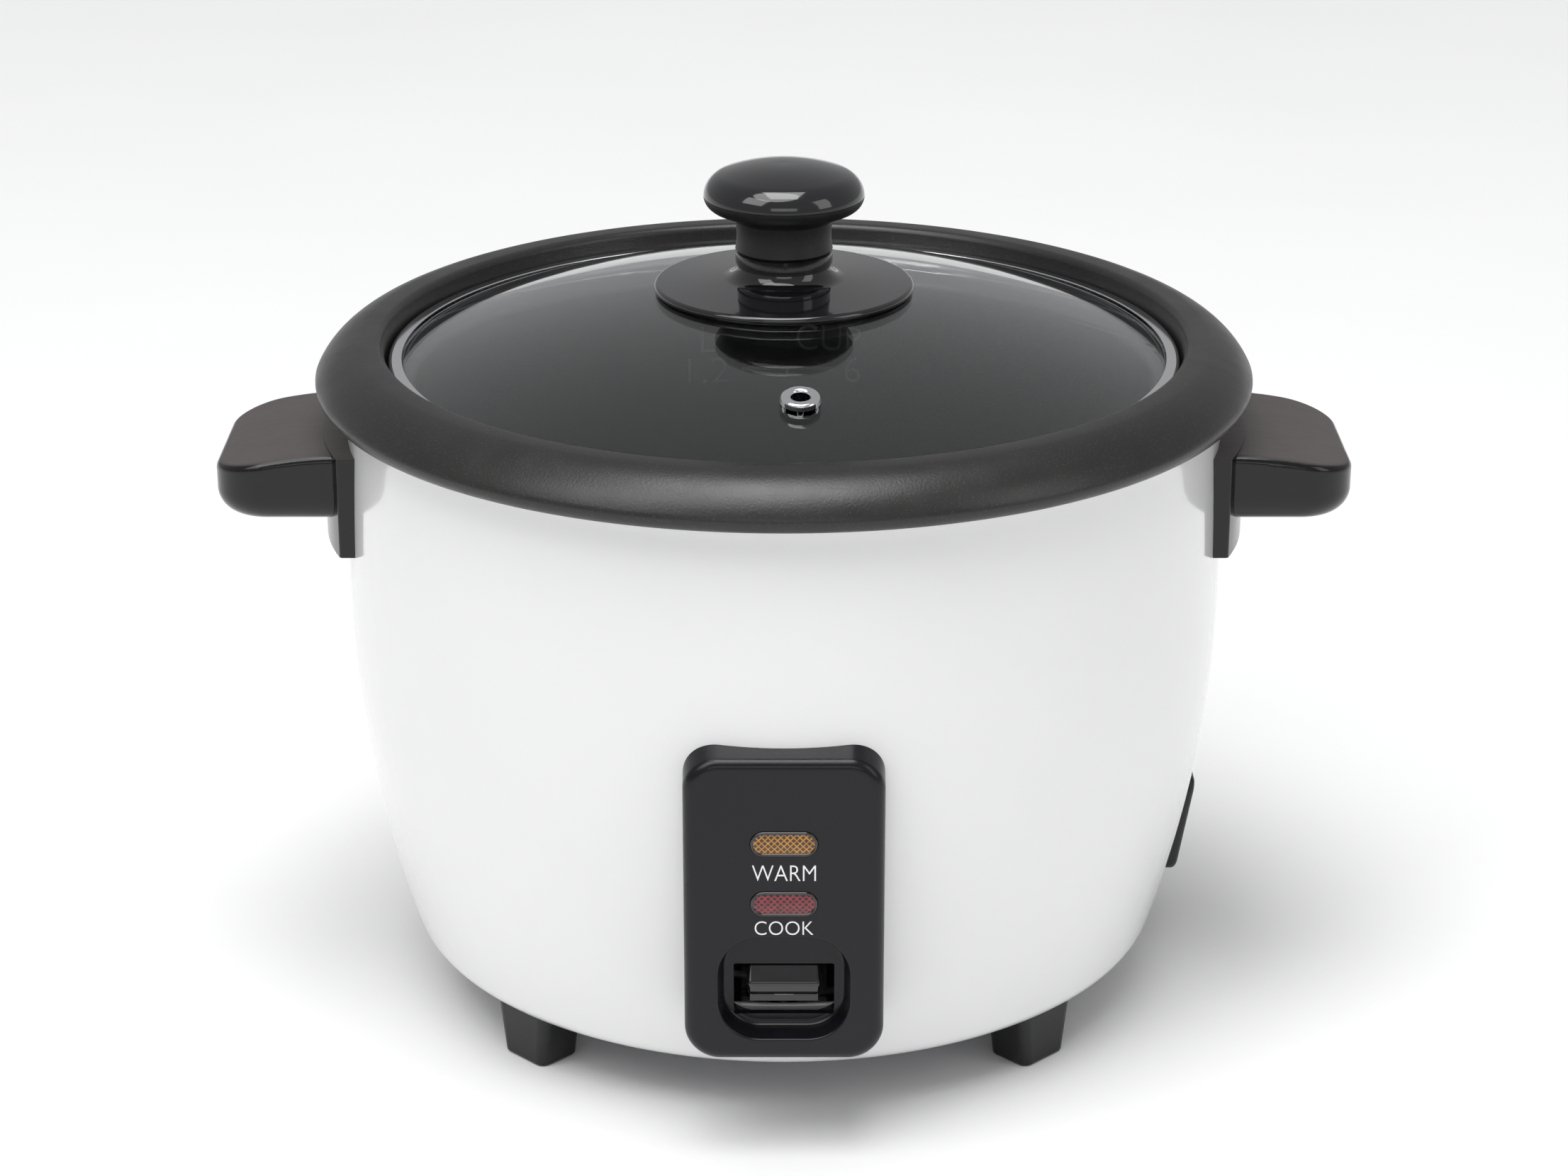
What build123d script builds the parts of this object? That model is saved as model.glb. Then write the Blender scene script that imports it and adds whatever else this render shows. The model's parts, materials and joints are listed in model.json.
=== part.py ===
from build123d import *
import os
from math import atan2, cos, radians, sin, sqrt

# Automatic rice cooker: a painted steel body with a heating plate and a trip thermostat,
# a lift-out pot and a glass lid. Millimetres. Z = 0 is the surface it stands on, the Z axis
# is the pot's axis, the control panel faces -Y and the handles stand out along X.

os.makedirs("parts", exist_ok=True)

# ---------------------------------------------------------------- driving dimensions
sheet = 1.0                      # steel sheet of the shell and the liner
fit_gap = 0.05                   # left between a moulding and the surface it hugs
screw_gap = 0.1                  # radial clearance round a screw's shank

# body shell
rim_radius = 117.5               # outermost radius of the rolled rim
roll_radius = 4.0
rim_top = 176.0
flange_bottom = 160.0            # the rim's inner flange ends here
shell_bottom = 14.0
edge_centre_radius = 95.0        # where the rounded bottom edge starts
edge_round = 7.5
edge_sweep = 72.4                # degrees of the bottom edge's arc
lip_radius = 92.0                # inner radius of the bottom lip
# radius and height where the wall is widest, narrowest under the rim, and halfway up the flare
wall_widest, wall_neck, wall_flare = (116.9, 115.0), (115.6, 161.0), (116.5, 166.6)

# liner, or well
well_radius = rim_radius - 2 * roll_radius + sheet
well_floor = 53.0
well_corner = 95.1
well_mouth = 60.0

# pot
pot_base = 68.0
pot_sheet = 1.5
pot_wall, pot_bend = 96.5, 150.0                        # inner radius, upright above this height
pot_foot, pot_foot_z = 92.0, 92.0                       # where the wall's curve meets the bottom corner
pot_opening = 106.0
pot_top = 180.0
ledge_height = 169.9             # the ledge that carries the lid
lip_crest = 112.0
lip_edge = 123.6

# lid
lid_seat = 170.0                 # underside of the lid's steel band
lid_radius = 104.5
band_height = 5.4
dome_radius = 280.0
dome_top = 193.5
glass_thickness = 3.2
vent_offset = (4.0, -72.5)

# heating plate
plate_top = 67.7
plate_radius = 72.0
plate_underside = 60.5
sensor_hole = 21.5
bracket_screw_x = 38.0
element_ring = 51.0
element_radius = 4.0
element_height = 56.0

# mechanism
pivot_y, pivot_z = -60.0, 30.0
pin_radius = 1.5
lever_angle = 5.0                # degrees from warm to cook
magnet_travel = -pivot_y * radians(lever_angle)
plunger_y = -85.0

# control panel
panel_front = -121.5
panel_width, panel_height = 49.4, 80.6
panel_rise = 0.49                # how fast the panel's top climbs towards the body
panel_centre_z = 67.6
panel_corner = 9.0
panel_wall = 2.0
recess_width, recess_height, recess_depth = 32.6, 27.9, 6.5
recess_z = 47.4
window_width, window_height = 25.0, 13.9
window_z = 44.3
warm_z, cook_z = 86.8, 70.7
lens_width, lens_height = 16.7, 6.7
panel_screw_high, panel_screw_low = 101.0, 30.0
panel_opening = (26.0, 58.0)     # hole in the shell behind the panel, for the lever and the lamps
panel_opening_z = 64.0

# handles
handle_tip = 149.6
handle_width = 58.0
handle_top, handle_underside = 154.5, 136.0
grip_middle, grip_end = (133.0, 153.2), 149.4           # the grip's top, curving down to its tip
grip_corner = 14.0
pad_width, pad_bottom, pad_top = 66.0, 128.0, 155.2
pad_end = 3.2                    # how far the pad's ends stand out from the rim's circle
pad_bulge = 122.4                # how far the pad's middle stands from the pot's axis
handle_screw_places = [(13, 132), (-13, 132), (13, 147), (-13, 147)]

# power inlet
inlet_face = 111.4               # at the inlet's middle height
inlet_lean = 10.0                # degrees that the face leans with the body's side
inlet_y, inlet_z = 14.0, 38.0
inlet_width, inlet_height = 37.0, 28.0
socket_width, socket_height, socket_depth = 21.5, 15.0, 17.0
inlet_body = (23.6, 21.0)        # the part of the inlet that goes through the shell
inlet_back = 91.0
inlet_screw_radius = 1.15
inlet_screw_places = [(inlet_y - 14.5, inlet_z), (inlet_y + 14.5, inlet_z)]
inlet_pin_places = [(inlet_y - 7, inlet_z - 2), (inlet_y + 7, inlet_z - 2), (inlet_y, inlet_z + 3.5)]

# feet
foot_radius = 91.2
foot_angles = (45, 135, 225, 315)
foot_top, foot_bottom = (14.4, 20.2), (13.0, 15.4)      # outline across and along the circle
foot_height = 17.0               # before it is cut to the shell's bottom edge
foot_screw_ring, foot_screw_radius = 88.5, 1.5
foot_recess_depth = 7.0

# chassis
post_ring, post_radius = 78.0, 4.0
post_angles = (90, 210, 330)
plate_ring, plate_angles = 66.0, (30, 150, 270)         # posts that carry the heating plate
bottom_plate_radius = 94.8
bottom_plate_z = shell_bottom + sheet
bottom_plate_top = bottom_plate_z + 1.2


def place(radius, angles, height=0.0):
    """Locations at one height on a circle about the Z axis, without turning them."""
    return [Location((radius * cos(radians(a)), radius * sin(radians(a)), height)) for a in angles]


def outer_wall(inset):
    """The body's outline from the bottom lip up to the rim's roll, moved inwards by inset."""
    centre_z = shell_bottom + edge_round
    edge = CenterArc((edge_centre_radius, centre_z), edge_round - inset, 270, edge_sweep)
    curve = edge
    for radius, height in (wall_widest, wall_neck, wall_flare, (rim_radius, rim_top - roll_radius)):
        curve = TangentArc(curve @ 1, (radius - inset, height), tangent=curve % 1)
    return edge, curve


# ---------------------------------------------------------------- body shell and liner
roll_centre = (rim_radius - roll_radius, rim_top - roll_radius)
flange_outside = rim_radius - 2 * roll_radius

with BuildPart() as envelope:
    with BuildSketch(Plane.XZ):
        with BuildLine():
            bottom_edge, top_edge = outer_wall(-fit_gap)
            Polyline(top_edge @ 1, (0, rim_top - roll_radius), (0, (bottom_edge @ 0).Y), bottom_edge @ 0)
        make_face()
    revolve(axis=Axis.Z)

with BuildPart() as outer_shell:
    with BuildSketch(Plane.XZ):
        with BuildLine():
            bottom_edge, top_edge = outer_wall(0)
            CenterArc(roll_centre, roll_radius, 0, 180)
            Polyline(
                (flange_outside, roll_centre[1]),
                (flange_outside, flange_bottom),
                (flange_outside + sheet, flange_bottom),
                (flange_outside + sheet, roll_centre[1]),
            )
            CenterArc(roll_centre, roll_radius - sheet, 0, 180)
            inner_edge, inner_top = outer_wall(sheet)
            Polyline(inner_edge @ 0, (lip_radius, bottom_plate_z), (lip_radius, shell_bottom), bottom_edge @ 0)
        make_face()
    revolve(axis=Axis.Z)
    # openings behind the control panel and for its screws
    with BuildSketch(Plane.XZ.offset(60)):
        with Locations((0, panel_opening_z)):
            RectangleRounded(*panel_opening, 3)
        with Locations((0, panel_screw_high), (0, panel_screw_low)):
            Circle(1.8)
    extrude(amount=60, mode=Mode.SUBTRACT)
    # openings for the power inlet and its screws
    with BuildSketch(Plane.YZ.offset(60)):
        with Locations((inlet_y, inlet_z)):
            RectangleRounded(inlet_body[0] + 0.6, inlet_body[1] + 0.6, 2)
        with Locations(*inlet_screw_places):
            Circle(inlet_screw_radius + screw_gap)
    extrude(amount=60, mode=Mode.SUBTRACT)
    # screw holes of the handles
    for side in (60, -60):
        with BuildSketch(Plane.YZ.offset(side)):
            with Locations(*handle_screw_places):
                Circle(1.8)
        extrude(amount=side, mode=Mode.SUBTRACT)
outer_shell.part.label = "outer_shell"
export_step(outer_shell.part, "parts/outer_shell.step")

with BuildPart() as inner_liner:
    with BuildSketch(Plane.XZ):
        with BuildLine():
            FilletPolyline(
                (well_mouth, well_floor),
                (well_corner, well_floor),
                (well_radius, flange_bottom - 2),
                (well_radius, flange_bottom + 10),
                radius=12,
            )
            offset(amount=sheet, side=Side.RIGHT)
        make_face()
    revolve(axis=Axis.Z)
    with Locations(place(plate_ring, plate_angles, well_floor)):
        Hole(2.0 + screw_gap)
    with Locations(place(post_ring, post_angles, well_floor)):
        Hole(1.8 + screw_gap)
inner_liner.part.label = "inner_liner"
export_step(inner_liner.part, "parts/inner_liner.step")

# ---------------------------------------------------------------- bottom plate and feet
with BuildPart() as bottom_plate:
    with Locations((0, 0, bottom_plate_z)):
        Cylinder(bottom_plate_radius, 1.2, align=(Align.CENTER, Align.CENTER, Align.MIN))
    with Locations(place(post_ring, post_angles, bottom_plate_top)):
        Hole(1.8 + screw_gap)
    with Locations(place(foot_screw_ring, foot_angles, bottom_plate_top)):
        Hole(foot_screw_radius + screw_gap)
    # three groups of cooling slots
    with BuildSketch(Plane.XY.offset(bottom_plate_top)):
        for row in (-12, -4, 4, 12):
            with Locations((35, row), (-35, row)):
                SlotOverall(26, 3)
        with Locations((0, 40), (0, 32)):
            SlotOverall(26, 3)
    extrude(amount=-2, mode=Mode.SUBTRACT)
bottom_plate.part.label = "bottom_plate"
export_step(bottom_plate.part, "parts/bottom_plate.step")

with BuildPart() as foot:
    with BuildSketch(Plane.XY.offset(foot_height)):
        with Locations((foot_radius, 0)):
            RectangleRounded(*foot_top, 3)
    with BuildSketch(Plane.XY):
        with Locations((foot_radius, 0)):
            RectangleRounded(*foot_bottom, 2.5)
    loft()
    fillet(foot.edges().group_by(Axis.Z)[0], 1.0)
    add(envelope.part, mode=Mode.SUBTRACT)
    # pad that reaches up through the lip to the bottom plate
    with Locations((foot_screw_ring - 0.5, 0, shell_bottom - fit_gap)):
        Cylinder(3.3, sheet + fit_gap, align=(Align.CENTER, Align.CENTER, Align.MIN))
    with Locations((foot_screw_ring, 0, 0)):
        Cylinder(
            foot_screw_radius + 1.0,
            foot_recess_depth,
            align=(Align.CENTER, Align.CENTER, Align.MIN),
            mode=Mode.SUBTRACT,
        )
        Cylinder(
            foot_screw_radius + screw_gap,
            shell_bottom + sheet,
            align=(Align.CENTER, Align.CENTER, Align.MIN),
            mode=Mode.SUBTRACT,
        )

with BuildPart() as feet:
    with PolarLocations(0, 4, start_angle=foot_angles[0]):
        add(foot.part)
feet.part.label = "feet"
export_step(feet.part, "parts/feet.step")

with BuildPart() as foot_screws:
    with Locations(place(foot_screw_ring, foot_angles, foot_recess_depth)):
        Cylinder(foot_screw_radius + 0.8, 2.4, align=(Align.CENTER, Align.CENTER, Align.MAX))
        Cylinder(foot_screw_radius, 12, align=(Align.CENTER, Align.CENTER, Align.MIN))
    with Locations(place(foot_screw_ring, foot_angles, foot_recess_depth - 2.4)):
        Box(3.2, 0.7, 0.8, align=(Align.CENTER, Align.CENTER, Align.MIN), mode=Mode.SUBTRACT)
        Box(0.7, 3.2, 0.8, align=(Align.CENTER, Align.CENTER, Align.MIN), mode=Mode.SUBTRACT)
foot_screws.part.label = "foot_screws"
export_step(foot_screws.part, "parts/foot_screws.step")

with BuildPart() as chassis_posts:
    with Locations(place(post_ring, post_angles, bottom_plate_top)):
        Cylinder(
            post_radius,
            well_floor - sheet - bottom_plate_top,
            align=(Align.CENTER, Align.CENTER, Align.MIN),
        )
    with Locations(place(post_ring, post_angles, bottom_plate_top)):
        Cylinder(1.85, 16, align=(Align.CENTER, Align.CENTER, Align.MIN), mode=Mode.SUBTRACT)
    with Locations(place(post_ring, post_angles, well_floor - sheet)):
        Cylinder(1.85, 12, align=(Align.CENTER, Align.CENTER, Align.MAX), mode=Mode.SUBTRACT)
chassis_posts.part.label = "chassis_posts"
export_step(chassis_posts.part, "parts/chassis_posts.step")

with BuildPart() as chassis_screws:
    with Locations(place(post_ring, post_angles, bottom_plate_z)):
        Cylinder(3.4, 2.2, align=(Align.CENTER, Align.CENTER, Align.MAX))
        Cylinder(1.8, 14, align=(Align.CENTER, Align.CENTER, Align.MIN))
    with Locations(place(post_ring, post_angles, well_floor)):
        Cylinder(3.4, 1.6, align=(Align.CENTER, Align.CENTER, Align.MIN))
        Cylinder(1.8, 10, align=(Align.CENTER, Align.CENTER, Align.MAX))
    with Locations(place(post_ring, post_angles, bottom_plate_z - 2.2)):
        Box(4.4, 0.9, 0.8, align=(Align.CENTER, Align.CENTER, Align.MIN), mode=Mode.SUBTRACT)
        Box(0.9, 4.4, 0.8, align=(Align.CENTER, Align.CENTER, Align.MIN), mode=Mode.SUBTRACT)
chassis_screws.part.label = "chassis_screws"
export_step(chassis_screws.part, "parts/chassis_screws.step")

# ---------------------------------------------------------------- handles
half_pad = pad_width / 2
pad_edge_x = sqrt(rim_radius**2 - half_pad**2) + pad_end
grip_root = 108.0

with BuildPart() as grip:
    with BuildSketch(Plane.XZ.offset(-handle_width / 2)):
        with BuildLine():
            crown = ThreePointArc((grip_root, handle_top), grip_middle, (handle_tip, grip_end))
            Polyline(crown @ 1, (handle_tip, handle_underside), (grip_root, handle_underside), crown @ 0)
        make_face()
    extrude(amount=handle_width)
    fillet(grip.edges().filter_by(Axis.Z).group_by(Axis.X)[-1], grip_corner)
    fillet(grip.faces().sort_by(Axis.Z)[0].edges().sort_by(Axis.X)[1:], 6.5)
    fillet(grip.faces().sort_by(Axis.Z)[-1].edges().sort_by(Axis.X)[1:], 2.2)

with BuildPart() as handle:
    # pad against the shell, its outer face bulging about a vertical axis
    with BuildSketch(Plane.XY.offset(pad_bottom)):
        with BuildLine():
            ThreePointArc((pad_edge_x, -half_pad), (pad_bulge, 0), (pad_edge_x, half_pad))
            Polyline((pad_edge_x, half_pad), (100, half_pad), (100, -half_pad), (pad_edge_x, -half_pad))
        make_face()
    extrude(amount=pad_top - pad_bottom)
    fillet(handle.edges().filter_by(Axis.Z).sort_by(Axis.X)[2:], 1.0)
    add(grip.part)
    add(envelope.part, mode=Mode.SUBTRACT)
    with Locations(Plane.YZ.offset(105)):
        with Locations(*handle_screw_places):
            Cylinder(1.5, 15, align=(Align.CENTER, Align.CENTER, Align.MIN), mode=Mode.SUBTRACT)

with BuildPart() as handle_right:
    add(handle.part)
handle_right.part.label = "handle_right"
export_step(handle_right.part, "parts/handle_right.step")

with BuildPart() as handle_left:
    add(mirror(handle.part, about=Plane.YZ, mode=Mode.PRIVATE))
handle_left.part.label = "handle_left"
export_step(handle_left.part, "parts/handle_left.step")

with BuildPart() as right_screws:
    with Locations(Plane.YZ.offset(112.6)):
        with Locations(*handle_screw_places):
            Cylinder(1.45, 6.6, align=(Align.CENTER, Align.CENTER, Align.MIN))
            Cylinder(2.8, 1.2, align=(Align.CENTER, Align.CENTER, Align.MIN))

with BuildPart() as handle_screws:
    add(right_screws.part)
    add(mirror(right_screws.part, about=Plane.YZ, mode=Mode.PRIVATE))
handle_screws.part.label = "handle_screws"
export_step(handle_screws.part, "parts/handle_screws.step")

# ---------------------------------------------------------------- control panel
with BuildPart() as recess_space:
    with BuildSketch(Plane.XZ.offset(-panel_front - recess_depth)):
        with Locations((0, recess_z)):
            RectangleRounded(recess_width - 2, recess_height - 2, 9.5)
    with BuildSketch(Plane.XZ.offset(-panel_front)):
        with Locations((0, recess_z)):
            RectangleRounded(recess_width, recess_height, 10.5)
    loft()
    fillet(recess_space.faces().sort_by(Axis.Y)[-1].edges(), 1.6)

panel_depth = -panel_front - 100
with BuildPart() as control_panel:
    with BuildSketch(Plane.XZ.offset(-panel_front)):
        with Locations((0, panel_centre_z)):
            RectangleRounded(panel_width, panel_height, panel_corner)
    with BuildSketch(Plane.XZ.offset(-panel_front - panel_depth)):
        with Locations((0, panel_centre_z + panel_depth * panel_rise / 2)):
            RectangleRounded(panel_width, panel_height + panel_depth * panel_rise, panel_corner)
    loft()
    fillet(control_panel.faces().sort_by(Axis.Y)[0].edges(), 3.0)
    # finger recess round the switch
    add(recess_space.part, mode=Mode.SUBTRACT)
    fillet(control_panel.faces().sort_by(Axis.Y)[0].inner_wires().edges(), 0.6)
    # hollow back, except behind the recess
    with BuildSketch(Plane.XZ.offset(90)):
        with Locations((0, panel_centre_z)):
            RectangleRounded(
                panel_width - 2 * panel_wall, panel_height - 2 * panel_wall, panel_corner - panel_wall
            )
        with Locations((0, recess_z)):
            RectangleRounded(
                recess_width + 2 * panel_wall, recess_height + 2 * panel_wall, 12.5, mode=Mode.SUBTRACT
            )
    extrude(amount=-panel_front - panel_wall - 90, mode=Mode.SUBTRACT)
    # screw bosses
    with Locations(Plane.XZ.offset(100)):
        with Locations((0, panel_screw_high)):
            Cylinder(4, -panel_front - 101, align=(Align.CENTER, Align.CENTER, Align.MIN))
    add(envelope.part, mode=Mode.SUBTRACT)
    # hollow behind the recess floor, switch window and lens openings
    with BuildSketch(Plane.XZ.offset(90)):
        with Locations((0, recess_z)):
            RectangleRounded(recess_width, recess_height, 10.5)
    extrude(amount=-panel_front - recess_depth - panel_wall - 90, mode=Mode.SUBTRACT)
    with BuildSketch(Plane.XZ.offset(90)):
        with Locations((0, window_z)):
            RectangleRounded(window_width, window_height, 0.6)
        with Locations((0, warm_z), (0, cook_z)):
            SlotOverall(lens_width + 0.1, lens_height + 0.1)
    extrude(amount=40, mode=Mode.SUBTRACT)
    with Locations(Plane.XZ.offset(100)):
        with Locations((0, panel_screw_high), (0, panel_screw_low)):
            Cylinder(1.5, 19.2, align=(Align.CENTER, Align.CENTER, Align.MIN), mode=Mode.SUBTRACT)
control_panel.part.label = "control_panel"
export_step(control_panel.part, "parts/control_panel.step")

with BuildPart() as panel_screws:
    with Locations(Plane.XZ):
        with Locations((0, panel_screw_high, 113.2), (0, panel_screw_low, 99.6)):
            Cylinder(2.8, 1.6, align=(Align.CENTER, Align.CENTER, Align.MIN))
    with Locations(Plane.XZ):
        with Locations((0, panel_screw_high, 113.2)):
            Cylinder(1.45, 5.6, align=(Align.CENTER, Align.CENTER, Align.MIN))
        with Locations((0, panel_screw_low, 99.6)):
            Cylinder(1.45, 10, align=(Align.CENTER, Align.CENTER, Align.MIN))
panel_screws.part.label = "panel_screws"
export_step(panel_screws.part, "parts/panel_screws.step")

lens_proud = 0.5
with BuildPart() as warm_lens:
    with BuildSketch(Plane.XZ.offset(-panel_front - panel_wall)):
        with Locations((0, warm_z)):
            SlotOverall(lens_width, lens_height)
    extrude(amount=panel_wall + lens_proud)
    fillet(warm_lens.faces().sort_by(Axis.Y)[0].edges(), 0.9)
    with BuildSketch(Plane.XZ.offset(-panel_front - panel_wall)):
        with Locations((0, warm_z)):
            SlotOverall(lens_width + 2.4, lens_height + 2.4)
    extrude(amount=-1.0)
warm_lens.part.label = "warm_lens"
export_step(warm_lens.part, "parts/warm_lens.step")

with BuildPart() as cook_lens:
    with Locations((0, 0, cook_z - warm_z)):
        add(warm_lens.part)
cook_lens.part.label = "cook_lens"
export_step(cook_lens.part, "parts/cook_lens.step")

board_y = -109.0
with BuildPart() as lamp_board:
    with BuildSketch(Plane.XZ.offset(-board_y - 1.6)):
        with Locations((0, 78.5)):
            RectangleRounded(23, 30, 1.5)
    extrude(amount=1.6)
lamp_board.part.label = "lamp_board"
export_step(lamp_board.part, "parts/lamp_board.step")

with BuildPart() as neon_lamps:
    with Locations((-5.5, board_y - 2.6, warm_z), (-5.5, board_y - 2.6, cook_z)):
        Cylinder(2.2, 11, rotation=(0, 90, 0), align=(Align.CENTER, Align.CENTER, Align.MIN))
    fillet(neon_lamps.edges().group_by(Axis.X)[-1], 1.6)
neon_lamps.part.label = "neon_lamps"
export_step(neon_lamps.part, "parts/neon_lamps.step")

with BuildPart() as lamp_resistors:
    with Locations((0, board_y - 1.3, 81.5), (0, board_y - 1.3, 76.0)):
        Cylinder(1.2, 7, rotation=(0, 90, 0))
lamp_resistors.part.label = "lamp_resistors"
export_step(lamp_resistors.part, "parts/lamp_resistors.step")

# ---------------------------------------------------------------- heating plate
with BuildPart() as heating_plate:
    with BuildSketch(Plane.XZ):
        with BuildLine():
            Polyline(
                (sensor_hole, plate_underside),
                (45, plate_underside),
                (45, 54.5),
                (57, 54.5),
                (57, plate_underside),
                (plate_radius, plate_underside),
                (plate_radius, plate_top),
                (sensor_hole, plate_top),
                close=True,
            )
        make_face()
        with Locations((element_ring, element_height)):
            Circle(element_radius + fit_gap, mode=Mode.SUBTRACT)
    revolve(axis=Axis.Z)
    fillet(heating_plate.edges().group_by(Axis.Z)[-1], 1.2)
    with Locations(place(plate_ring, plate_angles, plate_underside)):
        Cylinder(1.95, 5, align=(Align.CENTER, Align.CENTER, Align.MIN), mode=Mode.SUBTRACT)
    with Locations((bracket_screw_x, 0, plate_underside), (-bracket_screw_x, 0, plate_underside)):
        Cylinder(1.55, 4, align=(Align.CENTER, Align.CENTER, Align.MIN), mode=Mode.SUBTRACT)
heating_plate.part.label = "heating_plate"
export_step(heating_plate.part, "parts/heating_plate.step")

element_gap = 12.0               # degrees each side of the back that the element leaves open
with BuildPart() as heating_element:
    with BuildLine(Plane.XY.offset(element_height)) as element_path:
        CenterArc((0, 0), element_ring, 90 + element_gap, 360 - 2 * element_gap)
    with BuildSketch(element_path.line ^ 0):
        Circle(element_radius)
    sweep()
    with Locations(place(element_ring, (90 + element_gap, 90 - element_gap), element_height)):
        Sphere(element_radius)
        Cylinder(2.6, 10, align=(Align.CENTER, Align.CENTER, Align.MAX))
        Cylinder(1.4, 16, align=(Align.CENTER, Align.CENTER, Align.MAX))
heating_element.part.label = "heating_element"
export_step(heating_element.part, "parts/heating_element.step")

with BuildPart() as plate_posts:
    with Locations(place(plate_ring, plate_angles, well_floor)):
        Cylinder(4, plate_underside - well_floor, align=(Align.CENTER, Align.CENTER, Align.MIN))
        Cylinder(
            2.1,
            plate_underside - well_floor,
            align=(Align.CENTER, Align.CENTER, Align.MIN),
            mode=Mode.SUBTRACT,
        )
plate_posts.part.label = "plate_posts"
export_step(plate_posts.part, "parts/plate_posts.step")

with BuildPart() as plate_screws:
    with Locations(place(plate_ring, plate_angles, well_floor - sheet)):
        Cylinder(3.6, 2.4, align=(Align.CENTER, Align.CENTER, Align.MAX))
        Cylinder(1.9, 12, align=(Align.CENTER, Align.CENTER, Align.MIN))
plate_screws.part.label = "plate_screws"
export_step(plate_screws.part, "parts/plate_screws.step")

# ---------------------------------------------------------------- trip thermostat
cup_floor = 47.0
cap_height = 2.0
cap_top = plate_top - 0.1
magnet_height = 4.5
ferrite_height = 5.0
ferrite_bottom = cap_top - cap_height - ferrite_height
magnet_top = ferrite_bottom - 0.3 - magnet_travel
collar_bottom, collar_top = 35.0, 37.0
lever_top = collar_bottom - 0.6

with BuildPart() as thermostat_cup:
    with BuildSketch(Plane.XZ):
        with BuildLine():
            Polyline((2.0, cup_floor + 0.5), (17.5, cup_floor + 0.5), (17.5, 62))
            offset(amount=0.5, kind=Kind.INTERSECTION)
        make_face()
    revolve(axis=Axis.Z)
thermostat_cup.part.label = "thermostat_cup"
export_step(thermostat_cup.part, "parts/thermostat_cup.step")

strap = 1.4
with BuildPart() as thermostat_bracket:
    with BuildSketch(Plane.XZ.offset(-6)):
        with BuildLine():
            Polyline(
                (-42, plate_underside - strap / 2),
                (-33.7, plate_underside - strap / 2),
                (-33.7, cup_floor - strap / 2),
                (33.7, cup_floor - strap / 2),
                (33.7, plate_underside - strap / 2),
                (42, plate_underside - strap / 2),
            )
            offset(amount=strap / 2, kind=Kind.INTERSECTION)
        make_face()
    extrude(amount=12)
    with Locations((0, 0, cup_floor)):
        Cylinder(5, 4, mode=Mode.SUBTRACT)
    with Locations((bracket_screw_x, 0, plate_underside), (-bracket_screw_x, 0, plate_underside)):
        Cylinder(1.6, 4, mode=Mode.SUBTRACT)
thermostat_bracket.part.label = "thermostat_bracket"
export_step(thermostat_bracket.part, "parts/thermostat_bracket.step")

with BuildPart() as bracket_screws:
    with Locations(
        (bracket_screw_x, 0, plate_underside - strap), (-bracket_screw_x, 0, plate_underside - strap)
    ):
        Cylinder(2.6, 1.8, align=(Align.CENTER, Align.CENTER, Align.MAX))
        Cylinder(1.5, 5, align=(Align.CENTER, Align.CENTER, Align.MIN))
bracket_screws.part.label = "bracket_screws"
export_step(bracket_screws.part, "parts/bracket_screws.step")

with BuildPart() as sensor_cap:
    with Locations((0, 0, cap_top - cap_height)):
        Cylinder(20, cap_height, align=(Align.CENTER, Align.CENTER, Align.MIN))
    fillet(sensor_cap.edges().group_by(Axis.Z)[-1], 1.2)
    with Locations((0, 0, cap_top - cap_height)):
        Cylinder(16.2, 12, align=(Align.CENTER, Align.CENTER, Align.MAX))
        Cylinder(15.2, 12, align=(Align.CENTER, Align.CENTER, Align.MAX), mode=Mode.SUBTRACT)
sensor_cap.part.label = "sensor_cap"
export_step(sensor_cap.part, "parts/sensor_cap.step")

with BuildPart() as ferrite_disc:
    with Locations((0, 0, ferrite_bottom)):
        Cylinder(11, ferrite_height, align=(Align.CENTER, Align.CENTER, Align.MIN))
ferrite_disc.part.label = "ferrite_disc"
export_step(ferrite_disc.part, "parts/ferrite_disc.step")

spring_wire = 0.5


def coil(radius, low, high, turns):
    """Draws a round-wire compression spring between two heights about the Z axis."""
    rise = high - low - 2 * spring_wire
    with BuildLine():
        path = Helix(pitch=rise / turns, height=rise, radius=radius, center=(0, 0, low + spring_wire))
    with BuildSketch(path ^ 0) as section:
        Circle(spring_wire)
    sweep(section.sketch, path=path, is_frenet=True)


with BuildPart() as sensor_spring:
    coil(13.2, cup_floor + 1.0, cap_top - cap_height, 5)
sensor_spring.part.label = "sensor_spring"
export_step(sensor_spring.part, "parts/sensor_spring.step")

with BuildPart() as magnet:
    with Locations((0, 0, magnet_top)):
        Cylinder(10.5, magnet_height, align=(Align.CENTER, Align.CENTER, Align.MAX))
magnet.part.label = "magnet"
export_step(magnet.part, "parts/magnet.step")

with BuildPart() as pull_rod:
    with Locations((0, 0, magnet_top - magnet_height)):
        Cylinder(4, 1.0, align=(Align.CENTER, Align.CENTER, Align.MAX))
        Cylinder(1.2, 22, align=(Align.CENTER, Align.CENTER, Align.MAX))
    with Locations((0, 0, collar_bottom)):
        Cylinder(3.4, collar_top - collar_bottom, align=(Align.CENTER, Align.CENTER, Align.MIN))
pull_rod.part.label = "pull_rod"
export_step(pull_rod.part, "parts/pull_rod.step")

with BuildPart() as release_spring:
    coil(2.6, collar_top, cup_floor, 4)
release_spring.part.label = "release_spring"
export_step(release_spring.part, "parts/release_spring.step")

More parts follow.
